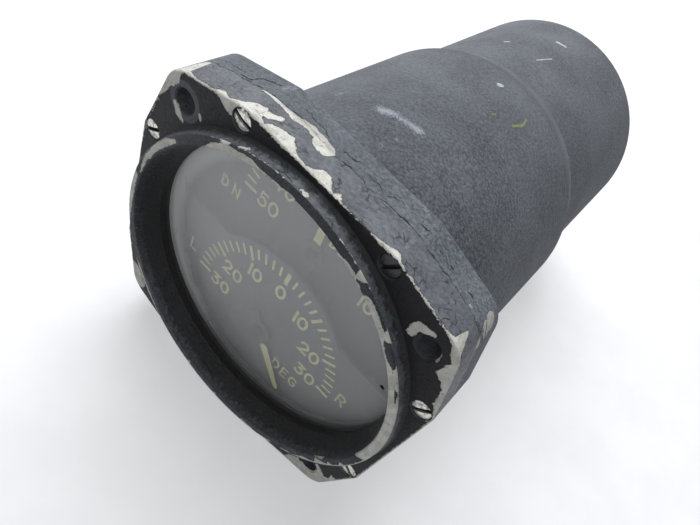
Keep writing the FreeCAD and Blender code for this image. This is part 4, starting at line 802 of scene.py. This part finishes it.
def ribbon(mesh, points, width, front, back):
    """A flat stroke of one width along points (x, z), with square ends."""
    closed = (Vector(points[0]) - Vector(points[-1])).length < 1e-6
    line = [Vector(point) for point in points]
    if closed:
        line = line[:-1]
    count = len(line)
    rows = []
    for index, here in enumerate(line):
        before = line[index - 1] if (index or closed) else None
        after = line[(index + 1) % count] if (index < count - 1 or closed) else None
        into = (here - before).normalized() if before is not None else None
        out = (after - here).normalized() if after is not None else None
        if into is None:
            into = out
            here = here - out * width * 0.5
        if out is None:
            out = into
            here = here + into * width * 0.5
        bisector = (into + out).normalized()
        side = Vector((-bisector.y, bisector.x))
        lean = max(0.35, side.dot(Vector((-into.y, into.x))))
        side = side * (width * 0.5 / lean)
        rows.append([mesh.verts.new((edge.x * MM, depth * MM, edge.y * MM))
                     for depth in (front, back) for edge in (here + side, here - side)])
    pairs = list(zip(rows, rows[1:]))
    if closed:
        pairs.append((rows[-1], rows[0]))
    for (a, b, c, d), (e, f, g, h) in pairs:
        mesh.faces.new((a, b, f, e))
        mesh.faces.new((c, g, h, d))
        mesh.faces.new((a, e, g, c))
        mesh.faces.new((b, d, h, f))
    if not closed:
        for a, b, c, d in (rows[0], rows[-1]):
            mesh.faces.new((a, c, d, b))


def piece_from(mesh, name, material, body):
    """Close a bmesh into an object that rides on a body."""
    bmesh.ops.recalc_face_normals(mesh, faces=mesh.faces)
    data = bpy.data.meshes.new(name)
    mesh.to_mesh(data)
    mesh.free()
    data.materials.append(material)
    made = bpy.data.objects.new(name, data)
    bpy.context.scene.collection.objects.link(made)
    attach(made, body)
    return made


def radial(centre_z, angle, radius):
    """A point (x, z) at an angle in degrees, clockwise from straight up."""
    turn = math.radians(angle)
    return (math.sin(turn) * radius, centre_z + math.cos(turn) * radius)


# Ticks: where they start as a share of the scale radius, and their width
LONG_TICK = (0.8365, 0.80)
SHORT_TICK = (0.876, 0.60)
ZERO_TICK_WIDTH = 1.10


def dial_ticks(name, centre_z, face, material, shift=0.0):
    """Tick marks each 6 degrees over the upper half of a circle, longer each 30."""
    mesh = bmesh.new()
    for index in range(-15, 16):
        angle = index * 6.0
        start, width = LONG_TICK if index % 5 == 0 else SHORT_TICK
        inner = SCALE_RADIUS * start
        if index == 0 and name.startswith("azimuth"):
            width = ZERO_TICK_WIDTH
        trim = width * 0.5
        ends = [radial(centre_z, angle, reach)
                for reach in (inner + trim, SCALE_RADIUS - trim)]
        ribbon(mesh, [(x + shift, z) for x, z in ends], width, face - PRINT_HEIGHT, face)
    return piece_from(mesh, name, material, "case")


def write(mesh, text, centre, height, stroke, face, gap):
    """Upright characters centred on (x, z)."""
    line = height - stroke
    widths = [GLYPHS[letter][0] * line for letter in text]
    space = height * gap + stroke
    total = sum(widths) + space * (len(text) - 1)
    x = centre[0] - total * 0.5
    low = centre[1] - line * 0.5
    for letter, width in zip(text, widths):
        for stroke_line in GLYPHS[letter][1]:
            points = [(x + px * line, low + pz * line) for px, pz in stroke_line]
            ribbon(mesh, points, stroke, face - PRINT_HEIGHT, face)
        x += width + space


def dial_words(name, centre_z, face, words, material):
    """Printed numbers or letters of one dial; words are (text, x, z, height, stroke, gap)."""
    mesh = bmesh.new()
    for text, x, z, height, stroke, gap in words:
        write(mesh, text, (x, centre_z + z), height, stroke, face, gap)
    return piece_from(mesh, name, material, "case")


# Inner ends of the pointer bars on one side, half width and distance from the shaft, and
# how far the bar stands off the pointer: at its side, and at its face, which is narrower
POINTED_END = [(0.0, 3.9), (1.25, 4.7)]
SQUARE_END = [(1.05, 3.9)]
BAR_TIP_HALF = 0.78
BAR_SIDE = 0.08
BAR_FACE = 0.12
BAR_BEVEL = 0.08


def pointer_bar(name, body, centre_z, face, rest, reach, inner_end, material):
    """Luminous bar on a pointer: pointed or square inner end, tapered, rounded tip."""
    mesh = bmesh.new()
    tip = BAR_TIP_HALF
    top = reach - tip
    outline = list(inner_end) + [(tip, top)]
    outline += [(tip * math.cos(math.radians(a)), top + tip * math.sin(math.radians(a)))
                for a in range(15, 180, 15)]
    outline += [(-tip, top)]
    outline += [(-x, z) for x, z in reversed(inner_end) if x > 0.0]
    turn = math.radians(rest)
    rings = []
    for depth, inset in ((face, 0.0), (face - BAR_SIDE, 0.0), (face - BAR_FACE, BAR_BEVEL)):
        ring = []
        for x, z in outline:
            x -= math.copysign(min(inset, abs(x)), x)
            ring.append(mesh.verts.new((
                (x * math.cos(turn) + z * math.sin(turn)) * MM, depth * MM,
                (centre_z - x * math.sin(turn) + z * math.cos(turn)) * MM)))
        rings.append(ring)
    count = len(outline)
    for low, high in zip(rings, rings[1:]):
        for index in range(count):
            after = (index + 1) % count
            mesh.faces.new((low[index], low[after], high[after], high[index]))
    mesh.faces.new(rings[0])
    mesh.faces.new(rings[-1])
    return piece_from(mesh, name, material, body)


# The prints lie a little off the shaft centres
AZIMUTH_PRINT = (-0.25, 0.15)
ELEVATION_PRINT = (0.6, -0.4)

# Numbers: height, stroke and gap as a share of the height; radius of the elevation numbers
AZIMUTH_NUMBER = (4.4, 0.72, 0.1)
ELEVATION_NUMBER = (4.4, 0.64, 0.12)
ELEVATION_NUMBER_RADIUS = 15.9


def make_markings(materials):
    """The prints of both dials and the bars of both pointers."""
    lume = materials["lume"]
    unit = SCALE_RADIUS
    shift, lift = AZIMUTH_PRINT
    centre = lift - AZIMUTH_DROP
    dial_ticks("azimuth_ticks", centre, AZIMUTH_FACE, lume, shift)
    numbers = [("0", shift, 0.69 * unit) + AZIMUTH_NUMBER]
    for side in (-1, 1):
        for text, across, up in (("10", 0.33, 0.595), ("20", 0.578, 0.32), ("30", 0.667, -0.015)):
            numbers.append((text, shift + side * across * unit, up * unit) + AZIMUTH_NUMBER)
    dial_words("azimuth_numbers", centre, AZIMUTH_FACE, numbers, lume)
    letters = [("L", shift - 1.146 * unit, 0.14 * unit, 4.2, 0.56, 0.1),
               ("R", shift + 1.12 * unit, 0.155 * unit, 4.2, 0.56, 0.1),
               ("DEG", shift + 0.48 * unit, -0.31 * unit, 3.9, 0.52, 0.22)]
    dial_words("azimuth_letters", centre, AZIMUTH_FACE, letters, lume)

    shift, lift = ELEVATION_PRINT
    centre = lift + ELEVATION_RISE
    dial_ticks("elevation_ticks", centre, ELEVATION_FACE, lume, shift)
    numbers = []
    for text, angle in (("50", -90), ("40", -60), ("30", -30), ("20", 0), ("10", 30),
                        ("0", 60), ("10", 90)):
        x, z = radial(0.0, angle, ELEVATION_NUMBER_RADIUS)
        numbers.append((text, shift + x, z) + ELEVATION_NUMBER)
    dial_words("elevation_numbers", centre, ELEVATION_FACE, numbers, lume)
    letters = [("DN", shift - 27.0, -5.0, 3.5, 0.52, 0.45),
               ("UP", shift + 27.0, -5.0, 3.5, 0.52, 0.45),
               ("DEG", shift + 5.0, 6.6, 3.3, 0.5, 0.2)]
    dial_words("elevation_letters", centre, ELEVATION_FACE, letters, lume)
    pointer_bar("azimuth_pointer_bar", "azimuth_rotor_group", -AZIMUTH_DROP,
                AZIMUTH_POINTER_FACE, AZIMUTH_REST, 18.4, POINTED_END, lume)
    pointer_bar("elevation_pointer_bar", "elevation_rotor_group", ELEVATION_RISE,
                ELEVATION_POINTER_FACE, ELEVATION_REST, 19.7, SQUARE_END, lume)


# The surface that the indicator lies on touches the flange and the case shoulder
REST_FRONT = (14.3, -41.28)
REST_REAR = (77.5, -38.5)
FLOOR_REACH = 2.6
FLOOR_GLOW = 0.46


def in_view(shader):
    """1 for what the camera sees, also in gloss and through glass, else 0."""
    path = shader.node("ShaderNodeLightPath")
    seen = shader.math("ADD", path.outputs["Is Camera Ray"], path.outputs["Is Glossy Ray"])
    return shader.math("ADD", seen, path.outputs["Is Transmission Ray"], clamp=True)


def floor_material():
    """Pale matt paper that looks white where it is fully lit."""
    shader = Shader("floor_paper")
    cloud = shader.remap(shader.noise(0.05, 4.0, 0.6), 0.3, 0.7)
    paper = shader.mix(cloud, (0.45, 0.455, 0.47), (0.49, 0.495, 0.51))
    matt = shader.node("ShaderNodeBsdfDiffuse", paper)
    strength = shader.math("MULTIPLY", in_view(shader), FLOOR_GLOW)
    glow = shader.node("ShaderNodeEmission", (0.97, 0.98, 1.0), strength)
    both = shader.node("ShaderNodeAddShader", matt.outputs[0], glow.outputs[0])
    return shader.finish(both.outputs[0])


def make_floor():
    """The plane that the indicator lies on."""
    (front_y, front_z), (rear_y, rear_z) = REST_FRONT, REST_REAR
    slope = (rear_z - front_z) / (rear_y - front_y)
    mesh = bmesh.new()
    corners = []
    for x, y in ((-1, -1), (1, -1), (1, 1), (-1, 1)):
        along = y * FLOOR_REACH
        height = front_z * MM + slope * (along - front_y * MM)
        corners.append(mesh.verts.new((x * FLOOR_REACH, along, height)))
    mesh.faces.new(corners)
    data = bpy.data.meshes.new("floor")
    mesh.to_mesh(data)
    mesh.free()
    data.materials.append(floor_material())
    floor = bpy.data.objects.new("floor", data)
    bpy.context.scene.collection.objects.link(floor)


# Lamps: place, the place that each shines at, size in metres and watts
TOP_LAMP = ((-0.38, 0.40, 0.72), (0.0, 0.05, 0.0), 0.9, 12.4)
FRONT_LAMP = ((0.20, -0.72, 0.42), (0.0, 0.0, 0.0), 0.6, 1.5)
AMBIENT_STRENGTH = 0.18


def area_lamp(name, place, target, size, watts):
    """A round soft lamp that shines at a target."""
    lamp = bpy.data.lights.new(name, "AREA")
    lamp.shape = "DISK"
    lamp.size = size
    lamp.energy = watts
    made = bpy.data.objects.new(name, lamp)
    made.location = place
    heading = Vector(target) - Vector(place)
    made.rotation_euler = heading.to_track_quat("-Z", "Y").to_euler()
    bpy.context.scene.collection.objects.link(made)


def make_light():
    """Two soft lamps, weak light from all round and a white background."""
    area_lamp("top_lamp", *TOP_LAMP)
    area_lamp("front_lamp", *FRONT_LAMP)
    studio = Shader("studio", world=True)
    ambient = studio.node("ShaderNodeBackground", (0.97, 0.985, 1.0), AMBIENT_STRENGTH)
    backdrop = studio.node("ShaderNodeBackground", (1.0, 1.0, 1.0), 1.0)
    both = studio.node("ShaderNodeMixShader", in_view(studio), ambient.outputs[0],
                       backdrop.outputs[0])
    bpy.context.scene.world = studio.finish(both.outputs[0])


# Camera fitted to the panel holes, screws and dial marks: place and axes
CAMERA_PLACE = (0.03015, -0.06341, 0.10535)
CAMERA_RIGHT = (0.69057, 0.62082, 0.37107)
CAMERA_DOWN = (0.69964, -0.44333, -0.56032)
CAMERA_AHEAD = (-0.18335, 0.64656, -0.74050)
FOCAL_SHARE = 578.15 / 700.0


def make_camera():
    """The camera at its fitted place, looking the fitted way."""
    camera = bpy.data.cameras.new("camera")
    camera.sensor_width = 36.0
    camera.lens = 36.0 * FOCAL_SHARE
    camera.clip_start = 0.005
    camera.clip_end = 50.0
    made = bpy.data.objects.new("camera", camera)
    right, down, ahead = (Vector(axis) for axis in (CAMERA_RIGHT, CAMERA_DOWN, CAMERA_AHEAD))
    turn = Matrix((right, -down, -ahead)).transposed()
    made.matrix_world = Matrix.Translation(CAMERA_PLACE) @ turn.to_4x4()
    bpy.context.scene.collection.objects.link(made)
    bpy.context.scene.camera = made


bpy.context.scene.view_settings.view_transform = "Standard"
make_camera()
materials = make_materials()
dress_cad(materials)
make_markings(materials)
make_floor()
make_light()
